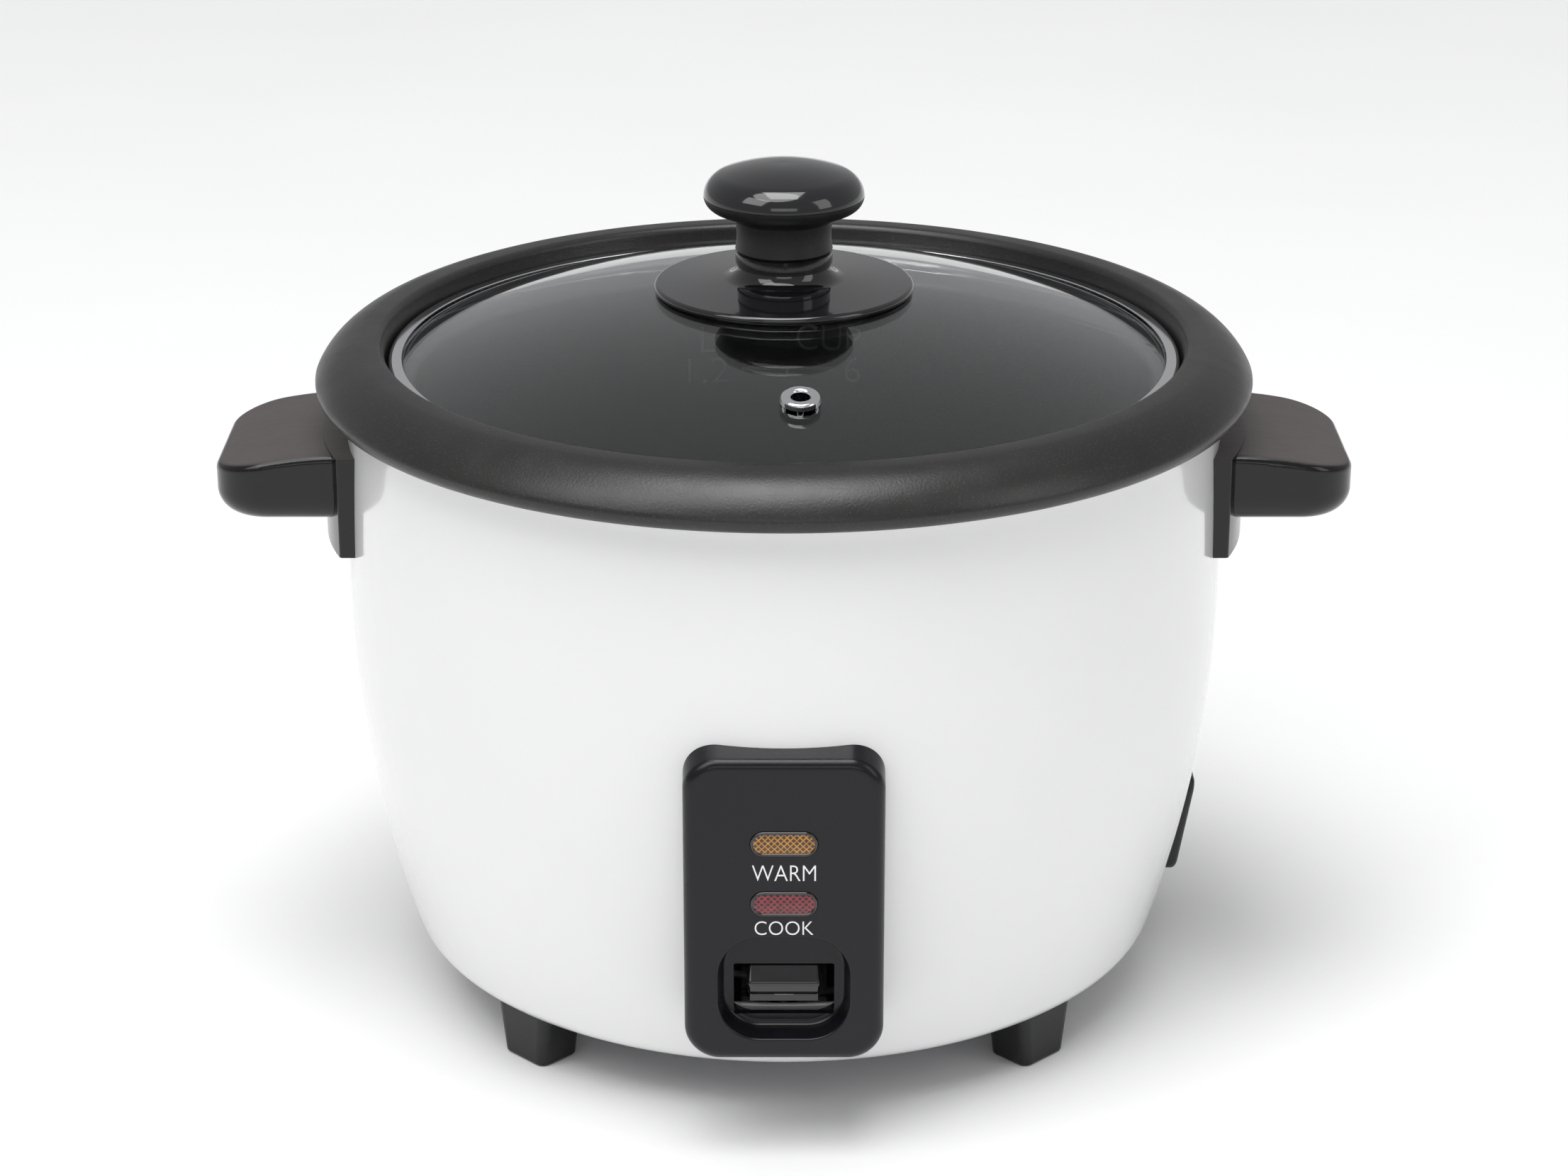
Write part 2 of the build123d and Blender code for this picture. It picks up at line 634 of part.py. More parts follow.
with BuildPart() as keep_warm_thermostat:
    with Locations((0, -33.5, plate_underside)):
        Cylinder(8.4, 1.0, align=(Align.CENTER, Align.CENTER, Align.MAX))
        Cylinder(7.6, 6.5, align=(Align.CENTER, Align.CENTER, Align.MAX))
    with Locations((4.5, -33.5, plate_underside - 6.5), (-4.5, -33.5, plate_underside - 6.5)):
        Box(0.8, 4.8, 5, align=(Align.CENTER, Align.CENTER, Align.MAX))
keep_warm_thermostat.part.label = "keep_warm_thermostat"
export_step(keep_warm_thermostat.part, "parts/keep_warm_thermostat.step")

fuse_z = plate_underside - 2.2
with BuildPart() as thermal_fuse:
    with Locations((0, 33, fuse_z)):
        Cylinder(2.15, 20, rotation=(0, 90, 0))
    fillet(thermal_fuse.edges(), 0.8)
    with Locations((0, 33, fuse_z)):
        Cylinder(0.5, 32, rotation=(0, 90, 0))
thermal_fuse.part.label = "thermal_fuse"
export_step(thermal_fuse.part, "parts/thermal_fuse.step")

with BuildPart() as fuse_clip:
    with BuildSketch(Plane.YZ.offset(-3)):
        with BuildLine():
            Polyline(
                (28.5, plate_underside - 0.35),
                (30.35, plate_underside - 0.35),
                (30.35, fuse_z - 2.6),
                (35.65, fuse_z - 2.6),
                (35.65, plate_underside - 0.35),
                (38.5, plate_underside - 0.35),
            )
            offset(amount=0.35, kind=Kind.INTERSECTION)
        make_face()
    extrude(amount=6)
fuse_clip.part.label = "fuse_clip"
export_step(fuse_clip.part, "parts/fuse_clip.step")

# ---------------------------------------------------------------- lever and switch
bracket_sheet = 1.2
with BuildPart() as lever_bracket:
    with Locations((0, pivot_y, bottom_plate_top)):
        Box(22.4, 14, bracket_sheet, align=(Align.CENTER, Align.CENTER, Align.MIN))
    for ear_side, ear_depth in ((-11.2, bracket_sheet), (11.2, -bracket_sheet)):
        with BuildSketch(Plane.YZ.offset(ear_side)) as ear:
            with Locations((pivot_y, bottom_plate_top + 8.4)):
                Rectangle(9, 16.8)
            fillet(ear.vertices().group_by(Axis.Z)[-1], 3)
        extrude(amount=ear_depth)
    with Locations((0, pivot_y, pivot_z)):
        Cylinder(pin_radius + 0.02, 40, rotation=(0, 90, 0), mode=Mode.SUBTRACT)
lever_bracket.part.label = "lever_bracket"
export_step(lever_bracket.part, "parts/lever_bracket.step")

with BuildPart() as lever_pin:
    with Locations((0, pivot_y, pivot_z)):
        Cylinder(pin_radius, 24, rotation=(0, 90, 0))
    with Locations((12, pivot_y, pivot_z), (-12, pivot_y, pivot_z)):
        Cylinder(2.4, 1.0, rotation=(0, 90, 0))
lever_pin.part.label = "lever_pin"
export_step(lever_pin.part, "parts/lever_pin.step")

riser_y, strip_front, strip_high = -92.0, -113.0, 46.6
with BuildPart() as lever_arm:
    with BuildSketch(Plane.YZ.offset(-5)):
        with BuildLine():
            Polyline(
                (4.5, lever_top - 0.5),
                (riser_y, lever_top - 0.5),
                (riser_y, strip_high),
                (strip_front, strip_high),
            )
            offset(amount=0.5, kind=Kind.INTERSECTION)
        make_face()
    extrude(amount=10)
    with Locations((0, pivot_y, lever_top)):
        Box(16, 16, 1.0, align=(Align.CENTER, Align.CENTER, Align.MAX))
    for ear_side, ear_depth in ((-8, 1), (8, -1)):
        with BuildSketch(Plane.YZ.offset(ear_side)):
            with BuildLine():
                Polyline(
                    (pivot_y - 7, lever_top),
                    (pivot_y - 3.4, pivot_z - 3.4),
                    (pivot_y + 3.4, pivot_z - 3.4),
                    (pivot_y + 7, lever_top),
                    close=True,
                )
            make_face()
        extrude(amount=ear_depth)
    with Locations((0, pivot_y, pivot_z)):
        Cylinder(pin_radius + 0.06, 40, rotation=(0, 90, 0), mode=Mode.SUBTRACT)
    with Locations((0, 0, lever_top)):
        Cylinder(2.2, 4, mode=Mode.SUBTRACT)
lever_arm.part.label = "lever_arm"
export_step(lever_arm.part, "parts/lever_arm.step")

paddle_low, paddle_ridge, paddle_high = 43.0, 46.8, 50.9
paddle_width, paddle_back = 18.6, -110.5
with BuildPart() as cook_switch:
    with BuildSketch(Plane.YZ.offset(-paddle_width / 2)):
        with BuildLine():
            front = FilletPolyline(
                (paddle_back, paddle_low),
                (-116.4, paddle_low),
                (-117.6, paddle_ridge),
                (-114.2, paddle_high),
                (paddle_back, paddle_high),
                radius=[2.0, 1.6, 1.2],
            )
            Line(front @ 1, front @ 0)
        make_face()
    extrude(amount=paddle_width)
    fillet(cook_switch.faces().sort_by(Axis.X)[-1].edges().sort_by(Axis.Y)[:-1], 1.2)
    fillet(cook_switch.faces().sort_by(Axis.X)[0].edges().sort_by(Axis.Y)[:-1], 1.2)
    # skirt that covers the window below the paddle
    with Locations((0, -112.0, 39.4)):
        Box(17, 1.3, 4.6, align=(Align.CENTER, Align.MIN, Align.MIN))
    with Locations((0, -110.6, strip_high)):
        Box(13, 6.0, 4.4, align=(Align.CENTER, Align.MIN, Align.CENTER))
    with Locations((0, strip_front - 0.5, strip_high)):
        Box(10, 20, 1.0, align=(Align.CENTER, Align.MIN, Align.CENTER), mode=Mode.SUBTRACT)
cook_switch.part.label = "cook_switch"
export_step(cook_switch.part, "parts/cook_switch.step")

with BuildPart() as switch_bracket:
    with Locations((0, -86, bottom_plate_top)):
        Box(14, 17, 1.6, align=(Align.CENTER, Align.CENTER, Align.MIN))
    with Locations((-4.2, -86, bottom_plate_top)):
        Box(1.2, 15, 10, align=(Align.CENTER, Align.CENTER, Align.MIN))
switch_bracket.part.label = "switch_bracket"
export_step(switch_bracket.part, "parts/switch_bracket.step")

switch_floor = bottom_plate_top + 1.6
switch_top = 28.6
switch_tab_x = 1.6
with BuildPart() as microswitch:
    with Locations((0, -86, switch_floor)):
        Box(6.8, 17, switch_top - switch_floor, align=(Align.CENTER, Align.CENTER, Align.MIN))
    with Locations((0, plunger_y, switch_top)):
        Cylinder(1.6, 6, align=(Align.CENTER, Align.CENTER, Align.MAX), mode=Mode.SUBTRACT)
    with Locations((0, -90.5, 23), (0, -81.0, 23)):
        Cylinder(1.2, 20, rotation=(0, 90, 0), mode=Mode.SUBTRACT)
    with Locations((switch_tab_x, -77.5, 21.0), (switch_tab_x, -77.5, 25.5)):
        Box(0.6, 5, 2.6, align=(Align.CENTER, Align.MIN, Align.CENTER))
microswitch.part.label = "microswitch"
export_step(microswitch.part, "parts/microswitch.step")

with BuildPart() as switch_plunger:
    with Locations((0, plunger_y, lever_top - 1.0 - 0.3)):
        Cylinder(1.5, 7.6, align=(Align.CENTER, Align.CENTER, Align.MAX))
    fillet(switch_plunger.edges().group_by(Axis.Z)[-1], 0.6)
switch_plunger.part.label = "switch_plunger"
export_step(switch_plunger.part, "parts/switch_plunger.step")

# ---------------------------------------------------------------- power inlet
with BuildPart() as inlet_housing:
    with BuildSketch(Plane.YZ.offset(98)):
        with Locations((inlet_y, inlet_z)):
            RectangleRounded(inlet_width, inlet_height, 4)
    extrude(amount=inlet_face - 98 + 4)
    face_plane = Plane(
        origin=(inlet_face, 0, inlet_z), z_dir=(cos(radians(inlet_lean)), 0, -sin(radians(inlet_lean)))
    )
    split(bisect_by=face_plane, keep=Keep.BOTTOM)
    fillet(inlet_housing.faces().sort_by(Axis.X)[-1].edges(), 1.6)
    add(envelope.part, mode=Mode.SUBTRACT)
    with BuildSketch(Plane.YZ.offset(inlet_back)):
        with Locations((inlet_y, inlet_z)):
            RectangleRounded(*inlet_body, 2)
    extrude(amount=inlet_face - 3 - inlet_back)
    with BuildSketch(Plane.YZ.offset(inlet_face - socket_depth)):
        with Locations((inlet_y, inlet_z)):
            RectangleRounded(socket_width, socket_height, 2.5)
    extrude(amount=socket_depth + 4, mode=Mode.SUBTRACT)
    with Locations(Plane.YZ.offset(90)):
        with Locations(*inlet_pin_places):
            Box(2.0, 4.0, 10, align=(Align.CENTER, Align.CENTER, Align.MIN), mode=Mode.SUBTRACT)
    with Locations(Plane.YZ.offset(96)):
        with Locations(*inlet_screw_places):
            Cylinder(
                inlet_screw_radius + fit_gap,
                20,
                align=(Align.CENTER, Align.CENTER, Align.MIN),
                mode=Mode.SUBTRACT,
            )
    with Locations(Plane.YZ.offset(inlet_face - 1.6)):
        with Locations(*inlet_screw_places):
            Cylinder(2.3, 4, align=(Align.CENTER, Align.CENTER, Align.MIN), mode=Mode.SUBTRACT)
inlet_housing.part.label = "inlet_housing"
export_step(inlet_housing.part, "parts/inlet_housing.step")

with BuildPart() as inlet_pins:
    with Locations(Plane.YZ.offset(83)):
        with Locations(*inlet_pin_places):
            Box(2.0, 4.0, 25, align=(Align.CENTER, Align.CENTER, Align.MIN))
    chamfer(inlet_pins.faces().group_by(Axis.X)[-1].edges(), 0.4)
inlet_pins.part.label = "inlet_pins"
export_step(inlet_pins.part, "parts/inlet_pins.step")

with BuildPart() as inlet_screws:
    with Locations(Plane.YZ.offset(inlet_face - 0.2)):
        with Locations(*inlet_screw_places):
            Cylinder(2.2, 1.3, align=(Align.CENTER, Align.CENTER, Align.MAX))
            Cylinder(inlet_screw_radius, 9, align=(Align.CENTER, Align.CENTER, Align.MAX))
            Box(0.6, 3, 0.6, align=(Align.CENTER, Align.CENTER, Align.MAX), mode=Mode.SUBTRACT)
inlet_screws.part.label = "inlet_screws"
export_step(inlet_screws.part, "parts/inlet_screws.step")

# ---------------------------------------------------------------- internal wires
wire_radius = 1.0


def wire(points, bend):
    """Draws a round insulated wire along straight runs joined by arcs of one radius."""
    with BuildLine():
        path = FilletPolyline(*points, radius=bend)
    with BuildSketch(path ^ 0) as section:
        Circle(wire_radius)
    sweep(section.sketch, path=path)


tab_x = 82.4
element_end_x = element_ring * sin(radians(element_gap))
with BuildPart() as wire_live:
    wire(
        [
            (tab_x, inlet_y - 7, inlet_z - 2),
            (68, inlet_y - 9, 34),
            (54, -18, 27),
            (36, -46, 23),
            (18, -70, 21),
            (switch_tab_x + 0.3 + wire_radius, -71.5, 21),
        ],
        6,
    )
wire_live.part.label = "wire_live"
export_step(wire_live.part, "parts/wire_live.step")

with BuildPart() as wire_neutral:
    wire(
        [
            (tab_x, inlet_y + 7, inlet_z - 2),
            (66, 30, 36),
            (44, 46, 38),
            (22, 50, 38.5),
            (element_end_x + 2.1, 49.9, 41.5),
        ],
        7,
    )
wire_neutral.part.label = "wire_neutral"
export_step(wire_neutral.part, "parts/wire_neutral.step")

with BuildPart() as wire_switched:
    wire(
        [
            (switch_tab_x - 0.3 - wire_radius, -71.5, 25.5),
            (-16, -70, 26),
            (-34, -46, 30),
            (-44, -10, 35),
            (-38, 30, 39),
            (-24, 48, 41),
            (-element_end_x - 2.1, 49.9, 42.5),
        ],
        7,
    )
wire_switched.part.label = "wire_switched"
export_step(wire_switched.part, "parts/wire_switched.step")

# ---------------------------------------------------------------- pot
pot_floor = pot_base + pot_sheet
wall_lean = 2 * atan2(pot_wall - pot_foot, pot_bend - pot_foot_z)
pot_corner = (pot_foot_z - pot_floor) / (1 - sin(wall_lean))
with BuildPart() as inner_pot:
    with BuildSketch(Plane.XZ):
        with BuildLine() as pot_outline:
            flat = Line((0, pot_floor), (pot_foot - pot_corner * cos(wall_lean), pot_floor))
            corner = TangentArc(flat @ 1, (pot_foot, pot_foot_z), tangent=flat % 1)
            wall = TangentArc(corner @ 1, (pot_wall, pot_bend), tangent=corner % 1)
            inside = FilletPolyline(
                wall @ 1,
                (pot_wall, ledge_height - 2.5),
                (pot_opening - 1.1, ledge_height),
                (pot_opening, pot_top),
                (lip_crest, pot_top),
                radius=[1.5, 1.5, 1.2],
            )
            brow = ThreePointArc(inside @ 1, (119.0, 176.7), (lip_edge, 170.8))
            TangentArc(brow @ 1, (lip_edge - 3.0, 167.0), tangent=brow % 1)
            offset(amount=pot_sheet, side=Side.RIGHT)
        make_face()
    revolve(axis=Axis.Z)
inner_pot.part.label = "inner_pot"
export_step(inner_pot.part, "parts/inner_pot.step")

# ---------------------------------------------------------------- lid
def dome(radius, drop=0.0):
    """Height of the glass's top face at a radius, less drop."""
    return dome_top - drop - dome_radius + sqrt(dome_radius**2 - radius**2)


glass_edge = lid_radius - 1.6
with BuildPart() as lid_glass:
    with BuildSketch(Plane.XZ):
        with BuildLine():
            top = ThreePointArc(
                (4.5, dome(4.5)), (glass_edge / 2, dome(glass_edge / 2)), (glass_edge, dome(glass_edge))
            )
            low = ThreePointArc(
                (4.5, dome(4.5, glass_thickness)),
                (glass_edge / 2, dome(glass_edge / 2, glass_thickness)),
                (glass_edge, dome(glass_edge, glass_thickness)),
            )
            Line(top @ 0, low @ 0)
            Line(top @ 1, low @ 1)
        make_face()
    revolve(axis=Axis.Z)
    with Locations((*vent_offset, dome_top)):
        Hole(4.1)
lid_glass.part.label = "lid_glass"
export_step(lid_glass.part, "parts/lid_glass.step")

band_lip = 3.6
with BuildPart() as lid_rim:
    with BuildSketch(Plane.XZ) as band:
        with Locations((lid_radius, lid_seat)):
            Rectangle(band_lip, band_height, align=(Align.MAX, Align.MIN))
        fillet(band.vertices().group_by(Axis.X)[-1], 1.1)
        with Locations((lid_radius - 1.4, lid_seat + 0.55)):
            Rectangle(4, band_height - 1.05, align=(Align.MAX, Align.MIN), mode=Mode.SUBTRACT)
    revolve(axis=Axis.Z)
lid_rim.part.label = "lid_rim"
export_step(lid_rim.part, "parts/lid_rim.step")

vent_radius = sqrt(vent_offset[0] ** 2 + vent_offset[1] ** 2)
vent_z = dome(vent_radius) - glass_thickness / 2
vent_tilt = (vent_offset[0] / dome_radius, vent_offset[1] / dome_radius, 1)
vent_axis = Axis((*vent_offset, vent_z), vent_tilt)
with BuildPart() as vent_grommet:
    with BuildSketch(Plane(vent_axis.position, x_dir=(1, 0, -vent_tilt[0]), z_dir=(0, -1, vent_tilt[1]))):
        with BuildLine():
            Polyline(
                (2.3, -2.9),
                (4.5, -2.9),
                (4.5, -2.1),
                (3.6, -1.9),
                (3.6, 1.9),
                (5.2, 2.1),
                (4.7, 3.6),
                (2.3, 3.6),
                close=True,
            )
        make_face()
    revolve(axis=vent_axis)
    fillet(vent_grommet.edges().group_by(vent_axis)[-1], 0.8)
vent_grommet.part.label = "vent_grommet"
export_step(vent_grommet.part, "parts/vent_grommet.step")

skirt_radius, neck_radius, cap_radius = 34.2, 12.8, 21.1
parting_z, equator_z, knob_top_z = 202.3, 217.0, 225.5
with BuildPart() as knob_base:
    with BuildSketch(Plane.XZ):
        with BuildLine():
            flare = ThreePointArc((16.5, 194.9), (13.8, 195.9), (12.4, 198.2))
            Polyline(
                flare @ 1,
                (12.4, 199.0),
                (neck_radius, 199.2),
                (neck_radius, parting_z - 0.3),
                (12.2, parting_z),
                (2.7, parting_z),
                (2.7, 194.2),
                (6.0, 194.2),
                (32.0, 192.05),
                (32.0, 191.75),
                (skirt_radius - 0.4, 191.6),
            )
            rim_curve = ThreePointArc((skirt_radius - 0.4, 191.6), (skirt_radius, 192.5), (33.0, 193.6))
            Line(rim_curve @ 1, flare @ 0)
        make_face()
    revolve(axis=Axis.Z)
knob_base.part.label = "knob_base"
export_step(knob_base.part, "parts/knob_base.step")

with BuildPart() as knob_neck:
    with BuildSketch(Plane.XZ):
        with BuildLine():
            waist = ThreePointArc((neck_radius, parting_z + 0.5), (12.45, 206.5), (neck_radius, 210.6))
            hollow = ThreePointArc(waist @ 1, (14.4, 212.2), (17.2, 213.1))
            belly = ThreePointArc(hollow @ 1, (20.1, 214.5), (cap_radius, equator_z - 0.15))
            Polyline(
                belly @ 1,
                (16, equator_z - 0.15),
                (16, 213.8),
                (2.5, 213.8),
                (2.5, parting_z),
                (12.2, parting_z),
                waist @ 0,
            )
        make_face()
    revolve(axis=Axis.Z)
knob_neck.part.label = "knob_neck"
export_step(knob_neck.part, "parts/knob_neck.step")

with BuildPart() as knob_top:
    with BuildSketch(Plane.XZ):
        with BuildLine():
            crown = ThreePointArc((0, knob_top_z), (9, knob_top_z - 0.6), (16.6, knob_top_z - 2.6))
            side = ThreePointArc(crown @ 1, (20.0, knob_top_z - 5.2), (cap_radius, equator_z))
            Polyline(side @ 1, (15.9, equator_z), (15.9, 214.6), (0, 214.6), crown @ 0)
        make_face()
    revolve(axis=Axis.Z)
knob_top.part.label = "knob_top"
export_step(knob_top.part, "parts/knob_top.step")

gasket_top = dome(0, glass_thickness)
with BuildPart() as knob_gasket:
    with Locations((0, 0, gasket_top - 0.4)):
        Cylinder(9.5, 1.2, align=(Align.CENTER, Align.CENTER, Align.MAX))
        Cylinder(4.3, 3.2, align=(Align.CENTER, Align.CENTER, Align.MIN))
    with Locations((0, 0, gasket_top)):
        Cylinder(2.7, 30, mode=Mode.SUBTRACT)
knob_gasket.part.label = "knob_gasket"
export_step(knob_gasket.part, "parts/knob_gasket.step")

with BuildPart() as knob_screw:
    with Locations((0, 0, gasket_top - 1.6)):
        Cylinder(8.0, 0.8, align=(Align.CENTER, Align.CENTER, Align.MAX))
        Cylinder(2.4, 22, align=(Align.CENTER, Align.CENTER, Align.MIN))
    with Locations((0, 0, gasket_top - 2.4)):
        Cylinder(4.4, 2.2, align=(Align.CENTER, Align.CENTER, Align.MAX))
        Box(6, 1.0, 1.0 + 2.4, align=(Align.CENTER, Align.CENTER, Align.MAX), mode=Mode.SUBTRACT)
knob_screw.part.label = "knob_screw"
export_step(knob_screw.part, "parts/knob_screw.step")
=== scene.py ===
import json
import math

import bmesh
import bpy
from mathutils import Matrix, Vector


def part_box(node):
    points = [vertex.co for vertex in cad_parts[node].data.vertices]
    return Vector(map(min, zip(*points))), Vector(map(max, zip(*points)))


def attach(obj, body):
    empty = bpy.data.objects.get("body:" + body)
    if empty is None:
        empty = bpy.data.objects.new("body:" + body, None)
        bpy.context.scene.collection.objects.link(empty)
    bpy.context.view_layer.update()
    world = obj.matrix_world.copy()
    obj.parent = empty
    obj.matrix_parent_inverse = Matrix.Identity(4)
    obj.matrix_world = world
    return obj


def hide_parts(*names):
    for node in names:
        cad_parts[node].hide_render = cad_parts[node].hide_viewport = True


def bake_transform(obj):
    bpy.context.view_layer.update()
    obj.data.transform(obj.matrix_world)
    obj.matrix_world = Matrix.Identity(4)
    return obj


# Rice cooker: looks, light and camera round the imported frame. Metres, +Z up, the panel faces -Y.

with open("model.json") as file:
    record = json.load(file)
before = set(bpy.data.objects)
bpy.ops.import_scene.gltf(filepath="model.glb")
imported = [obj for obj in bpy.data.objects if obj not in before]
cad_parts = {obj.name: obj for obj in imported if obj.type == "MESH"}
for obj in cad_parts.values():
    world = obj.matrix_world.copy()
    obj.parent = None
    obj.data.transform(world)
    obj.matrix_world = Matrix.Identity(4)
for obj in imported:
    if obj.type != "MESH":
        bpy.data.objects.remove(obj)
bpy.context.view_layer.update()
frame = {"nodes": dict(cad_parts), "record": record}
MM = 0.001

# ------------------------------------------------------------------ driving sizes
LATHE_STEPS = 240                     # facets round a turned piece
ARC_STEP = math.radians(7)            # longest turn between two points of a rounded corner

POT_FLOOR = 69.5 * MM                 # top face of the pot's floor
POT_SHEET = 1.5 * MM
POT_WALL, POT_BEND = 96.5 * MM, 150.0 * MM      # inner radius, upright above this height
POT_FOOT = (92.0 * MM, 92.0 * MM)     # where the wall's curve meets the bottom corner
POT_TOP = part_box("inner_pot")[1].z
POT_LEDGE = 169.9 * MM
LEDGE_DROP = 2.5 * MM                 # how far the ledge falls towards the wall
POT_MOUTH = 106.0 * MM
LIP_CREST, LIP_EDGE = 112.0 * MM, 123.6 * MM
LIP_SHOULDER = (119.0 * MM, 176.7 * MM)         # on the curve from the crest to the edge
LIP_EDGE_HEIGHT = 170.8 * MM
LIP_UNDER = (123.2 * MM, 168.6 * MM)  # on the curl under the edge
LIP_END = (120.6 * MM, 167.0 * MM)

PANEL_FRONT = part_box("control_panel")[0].y

SHEET = 1.0 * MM                      # steel of the shell and the well
RIM_RADIUS, ROLL_RADIUS, RIM_TOP = 117.5 * MM, 4.0 * MM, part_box("outer_shell")[1].z
SHELL_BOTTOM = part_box("outer_shell")[0].z
# arcs up the shell's side, as (radius in mm, height in mm, steps)
SHELL_SIDE = ((116.9, 115.0, 40), (115.6, 161.0, 18), (116.5, 166.6, 4))
LIP_RADIUS = 92.0 * MM                # inner edge of the shell's bottom lip
EDGE_CENTRE, EDGE_ROUND, EDGE_SWEEP = 95.0 * MM, 7.5 * MM, math.radians(72.4)
FLANGE_BOTTOM = 160.0 * MM
PANEL_CUT = (-5, 5, 34 * MM, 94 * MM)           # steps of the turn from the front, lowest, highest
INLET_CUT = (1, 9, 26 * MM, 50 * MM)            # steps of the turn from the right side, lowest, highest

WELL_HOLE, WELL_FLOOR, WELL_FOOT = 60.0 * MM, 53.0 * MM, 95.1 * MM
WELL_WALL, WELL_SHOULDER, WELL_TOP = 110.5 * MM, 158.0 * MM, 169.5 * MM
WELL_CORNER = 12.0 * MM

BAND_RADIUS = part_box("lid_rim")[1].x
BAND_LOW, BAND_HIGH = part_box("lid_rim")[0].z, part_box("lid_rim")[1].z
BAND_REACH = 3.6 * MM                 # over the glass, from the outside
BAND_WALL = 1.4 * MM
BAND_TOP_SHEET, BAND_LOW_SHEET = 0.5 * MM, 0.55 * MM

LENS_SIZE = (16.6 * MM, 6.6 * MM)
LENS_PITCH = 1.1 * MM                 # of the diamond pattern
LENS_FIELD = 0.765                    # share of the lens inside its smooth edge
LENS_RINGS = 20                       # rings of faces across the field
FIELD_RISE, FIELD_CROWN, RIDGE_RISE = 0.12, 0.22, 0.10      # mm: at the field's edge, its dome, its ridges

PADDLE_SKIRT_FRONT = -112.0 * MM
STRIP_PROUD, TAB_PROUD = 0.04 * MM, 0.06 * MM   # the panel clears them by little when the paddle tips
TRIM_SUNK = 0.3 * MM


# ------------------------------------------------------------------ shader nodes
def add(tree, kind, inputs=None, **settings):
    """A new node; an input is a value or the output socket that feeds it."""
    node = tree.nodes.new(kind)
    for key, value in settings.items():
        setattr(node, key, value)
    for key, value in (inputs or {}).items():
        if isinstance(value, bpy.types.NodeSocket):
            tree.links.new(value, node.inputs[key])
        else:
            node.inputs[key].default_value = value
    return node


def remap(tree, value, low, high, from_low=0.0, from_high=1.0):
    """value, spread from one range to another and held inside it."""
    inputs = {"Value": value, "From Min": from_low, "From Max": from_high, "To Min": low, "To Max": high}
    return add(tree, "ShaderNodeMapRange", inputs).outputs["Result"]


def noise(tree, place, scale, detail, stretch=None, turn=(0, 0, 0)):
    """Noise over the piece; stretch squeezes it along each axis, which draws it out into streaks."""
    if stretch:
        inputs = {"Vector": place, "Scale": stretch, "Rotation": turn}
        place = add(tree, "ShaderNodeMapping", inputs).outputs["Vector"]
    inputs = {"Vector": place, "Scale": scale, "Detail": detail}
    return add(tree, "ShaderNodeTexNoise", inputs).outputs["Fac"]


def blend_tones(tree, factor, stops):
    """A colour from a factor, through (position, colour) stops."""
    ramp = add(tree, "ShaderNodeValToRGB", {"Fac": factor})
    elements = ramp.color_ramp.elements
    while len(elements) < len(stops):
        elements.new(0.5)
    for element, (position, color) in zip(elements, stops):
        element.position = position
        element.color = (*color, 1.0)
    return ramp.outputs["Color"]


def shade(color, factor):
    return tuple(min(1.0, c * factor) for c in color)


def finish(name, color, roughness, tone=0.05, patch=22.0, gloss=0.04, grain=1400.0, relief=0.00002,
           scratches=0.0, **sockets):
    """A painted, moulded or metal surface.

    Broad patches shift its tone and gloss, a fine grain gives it relief in metres, and thin
    scratches dull it.
    """
    material = bpy.data.materials.new(name)
    material.use_nodes = True
    tree = material.node_tree
    shader = tree.nodes["Principled BSDF"]
    place = add(tree, "ShaderNodeTexCoord").outputs["Object"]
    broad = noise(tree, place, patch, detail=5)
    tones = blend_tones(tree, broad, [(0.3, shade(color, 1 - tone)), (0.7, shade(color, 1 + tone))])
    tree.links.new(tones, shader.inputs["Base Color"])
    fine = noise(tree, place, patch * 4, detail=4)
    dull = remap(tree, fine, roughness - gloss, roughness + gloss, 0.3, 0.7)
    if scratches:
        for turn in ((0.3, 0.2, 0.5), (-0.4, 0.1, -0.6)):
            streak = noise(tree, place, 1.0, detail=2, stretch=(30, 1700, 900), turn=turn)
            mark = remap(tree, streak, 0.0, scratches, 0.64, 0.72)
            inputs = {0: dull, 1: mark}
            dull = add(tree, "ShaderNodeMath", inputs, operation="ADD").outputs["Value"]
    tree.links.new(dull, shader.inputs["Roughness"])
    if relief:
        inputs = {"Height": noise(tree, place, grain, detail=2), "Distance": relief}
        bump = add(tree, "ShaderNodeBump", inputs)
        tree.links.new(bump.outputs["Normal"], shader.inputs["Normal"])
    for key, value in sockets.items():
        shader.inputs[key.replace("_", " ")].default_value = value
    return material


def speckled(material, color, scale, share):
    """Adds pale flecks to a finish."""
    tree = material.node_tree
    shader = tree.nodes["Principled BSDF"]
    base = shader.inputs["Base Color"].links[0].from_socket
    place = add(tree, "ShaderNodeTexCoord").outputs["Object"]
    cells = add(tree, "ShaderNodeTexVoronoi", {"Vector": place, "Scale": scale})
    fleck = remap(tree, cells.outputs["Distance"], 1.0, 0.0, share, share + 0.08)
    mix = add(tree, "ShaderNodeMix", {0: fleck, 6: base, 7: (*color, 1)}, data_type="RGBA")
    tree.links.new(mix.outputs[2], shader.inputs["Base Color"])
    return material


